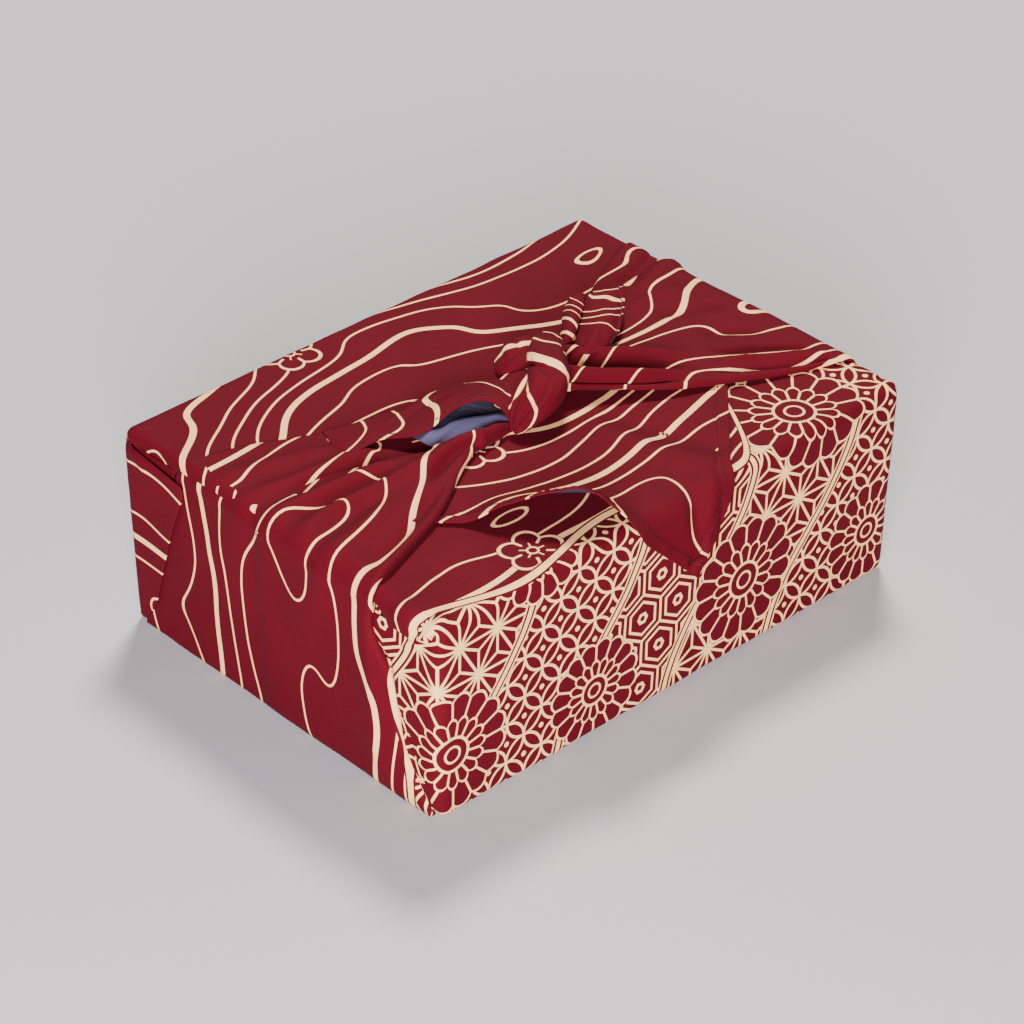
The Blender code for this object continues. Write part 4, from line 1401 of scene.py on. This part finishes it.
def stitchTree(material):
    # one thread lying at each point, along the point's own direction
    tree = bpy.data.node_groups.new("hemStitchesTree", "GeometryNodeTree")
    for title, way, kind in (("places", "INPUT", "Geometry"), ("size", "INPUT", "Vector"),
                             ("unevenness", "INPUT", "Float"), ("seed", "INPUT", "Int"),
                             ("stitches", "OUTPUT", "Geometry")):
        tree.interface.new_socket(title, in_out=way, socket_type="NodeSocket" + kind)
    start = tree.nodes.new("NodeGroupInput").outputs
    bead = addNode(tree, "GeometryNodeMeshUVSphere", {"Segments": 12, "Rings": 8, "Radius": 0.5})
    shaped = addNode(tree, "GeometryNodeTransform",
                     {"Geometry": bead.outputs["Mesh"], "Scale": start["size"]})
    along = addNode(tree, "GeometryNodeInputNamedAttribute", {}, data_type="FLOAT_VECTOR")
    up = addNode(tree, "GeometryNodeInputNamedAttribute", {}, data_type="FLOAT_VECTOR")
    feed(along, {"Name": "along"})
    feed(up, {"Name": "up"})
    lying = addNode(tree, "FunctionNodeAlignRotationToVector",
                    {"Vector": along.outputs["Attribute"]}, axis="X", pivot_axis="AUTO")
    facing = addNode(tree, "FunctionNodeAlignRotationToVector",
                     {"Vector": up.outputs["Attribute"], "Rotation": lying.outputs["Rotation"]},
                     axis="Z", pivot_axis="X")
    low = addNode(tree, "ShaderNodeMath", {0: 1.0, 1: start["unevenness"]}, operation="SUBTRACT")
    high = addNode(tree, "ShaderNodeMath", {0: 1.0, 1: start["unevenness"]}, operation="ADD")
    dice = addNode(tree, "FunctionNodeRandomValue",
                   {2: low.outputs[0], 3: high.outputs[0], "Seed": start["seed"]})
    put = addNode(tree, "GeometryNodeInstanceOnPoints",
                  {"Points": start["places"], "Instance": shaped.outputs["Geometry"],
                   "Rotation": facing.outputs["Rotation"], "Scale": dice.outputs[1]})
    real = addNode(tree, "GeometryNodeRealizeInstances", {"Geometry": put.outputs["Instances"]})
    paint = addNode(tree, "GeometryNodeSetMaterial",
                    {"Geometry": real.outputs["Geometry"], "Material": material})
    addNode(tree, "NodeGroupOutput", {0: paint.outputs["Geometry"]})
    return tree


def stitchPlaces(points, away, inset, rows):
    # stitch centres along the line that runs inset from a hem, with their directions
    normals = gridNormals(points)
    normals = normals * np.sign(np.sum(normals * (0.0, -0.5, 0.8), axis=-1, keepdims=True))
    line = []
    up = []
    for i in range(*rows):
        order = np.argsort(away[i])
        near = order[away[i][order] < inset + 9.0]
        if len(near) < 2 or away[i][near].max() < inset:
            continue
        line.append([np.interp(inset, away[i][near], points[i, near, k]) for k in range(3)])
        up.append([np.interp(inset, away[i][near], normals[i, near, k]) for k in range(3)])
    line, up = np.array(line), np.array(up)
    far = lineRuns(line)
    at = np.arange(stitch["pitch"] / 2, far[-1], stitch["pitch"])

    def pick(values):
        return np.stack([np.interp(at, far, values[:, k]) for k in range(3)], -1)

    ahead = np.gradient(line, far, axis=0)
    return pick(line) + stitch["proud"] * pick(up), pick(ahead), pick(up)


def makeStitches(runs):
    places, ahead, up = (np.concatenate(parts) for parts in zip(*runs))
    mesh = bpy.data.meshes.new("hemStitchPlaces")
    mesh.from_pydata((places * toMetres).tolist(), [], [])
    for name, values in (("along", ahead), ("up", up)):
        attribute = mesh.attributes.new(name, "FLOAT_VECTOR", "POINT")
        attribute.data.foreach_set("vector", unit(values).astype(np.float32).ravel())
    obj = addObject("hemStitches", mesh)
    thread = threadMaterial()
    sew = obj.modifiers.new("stitches", "NODES")
    sew.node_group = stitchTree(thread)
    width = stitch["width"] * toMetres
    settings = {"size": (stitch["length"] * toMetres, width, 0.8 * width),
                "unevenness": stitch["unevenness"], "seed": stitch["seed"]}
    for item in sew.node_group.interface.items_tree:
        if item.in_out == "INPUT" and item.name in settings:
            sew[item.identifier] = settings[item.name]
    graph = bpy.context.evaluated_depsgraph_get()
    sewn = bpy.data.meshes.new_from_object(obj.evaluated_get(graph))
    obj.modifiers.remove(sew)
    obj.data = sewn
    if not len(sewn.materials):
        sewn.materials.append(thread)
    print("stitches:", len(places), "faces:", len(sewn.polygons))
    return obj


tailOver = runLengths(tailPoints)[1]
looseOver = runLengths(loosePoints)[1]
hangingRows = (20, len(hangingPoints) - 4)
hemStitches = makeStitches((
    stitchPlaces(hangingPoints, hangingAway[0], 4.1, hangingRows),
    stitchPlaces(hangingPoints, hangingAway[1], 4.1, hangingRows),
    stitchPlaces(tailPoints, tailOver[:, -1:] - tailOver, 2.6, (0, len(tailPoints))),
    stitchPlaces(loosePoints, looseOver, 2.0, (6, len(loosePoints))),
))


# the box inside: grey board with a soft fibrous face
board = {
    "colour": (0.30, 0.27, 0.235, 1),
    "fleck": (0.19, 0.17, 0.15, 1),
    "fibre": 900.0,
    "patches": 40.0,
}


def boardMaterial():
    material, tree, shader = newMaterial("greyBoard", {"Roughness": 0.9,
                                                       "Specular IOR Level": 0.2})
    place = objectPlace(tree)
    fibre, patchy = (addNode(tree, "ShaderNodeTexNoise",
                             {"Scale": board[name], "Detail": 3.0, "Vector": place})
                     for name in ("fibre", "patches"))
    tint = Wire(tree, fibre.outputs["Fac"]) * 0.7 + Wire(tree, patchy.outputs["Fac"]) * 0.3
    feed(shader, {"Base Color": mixColour(tree, tint, board["colour"], board["fleck"])})
    addBump(shader, fibre.outputs["Fac"], 0.3, 0.0001)
    return material


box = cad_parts["box"]
greyBoard = boardMaterial()
if not box.material_slots:
    box.data.materials.append(greyBoard)
for slot in box.material_slots:
    slot.material = greyBoard
print("box given its board")

# the pieces are handed over
for obj, flat, held, restsOn, area in clothPieces:
    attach(obj, "root")
    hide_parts("wrap")

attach(hemStitches, "root")
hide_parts("wrap")

print("pieces handed over:", len(clothPieces) + 1)
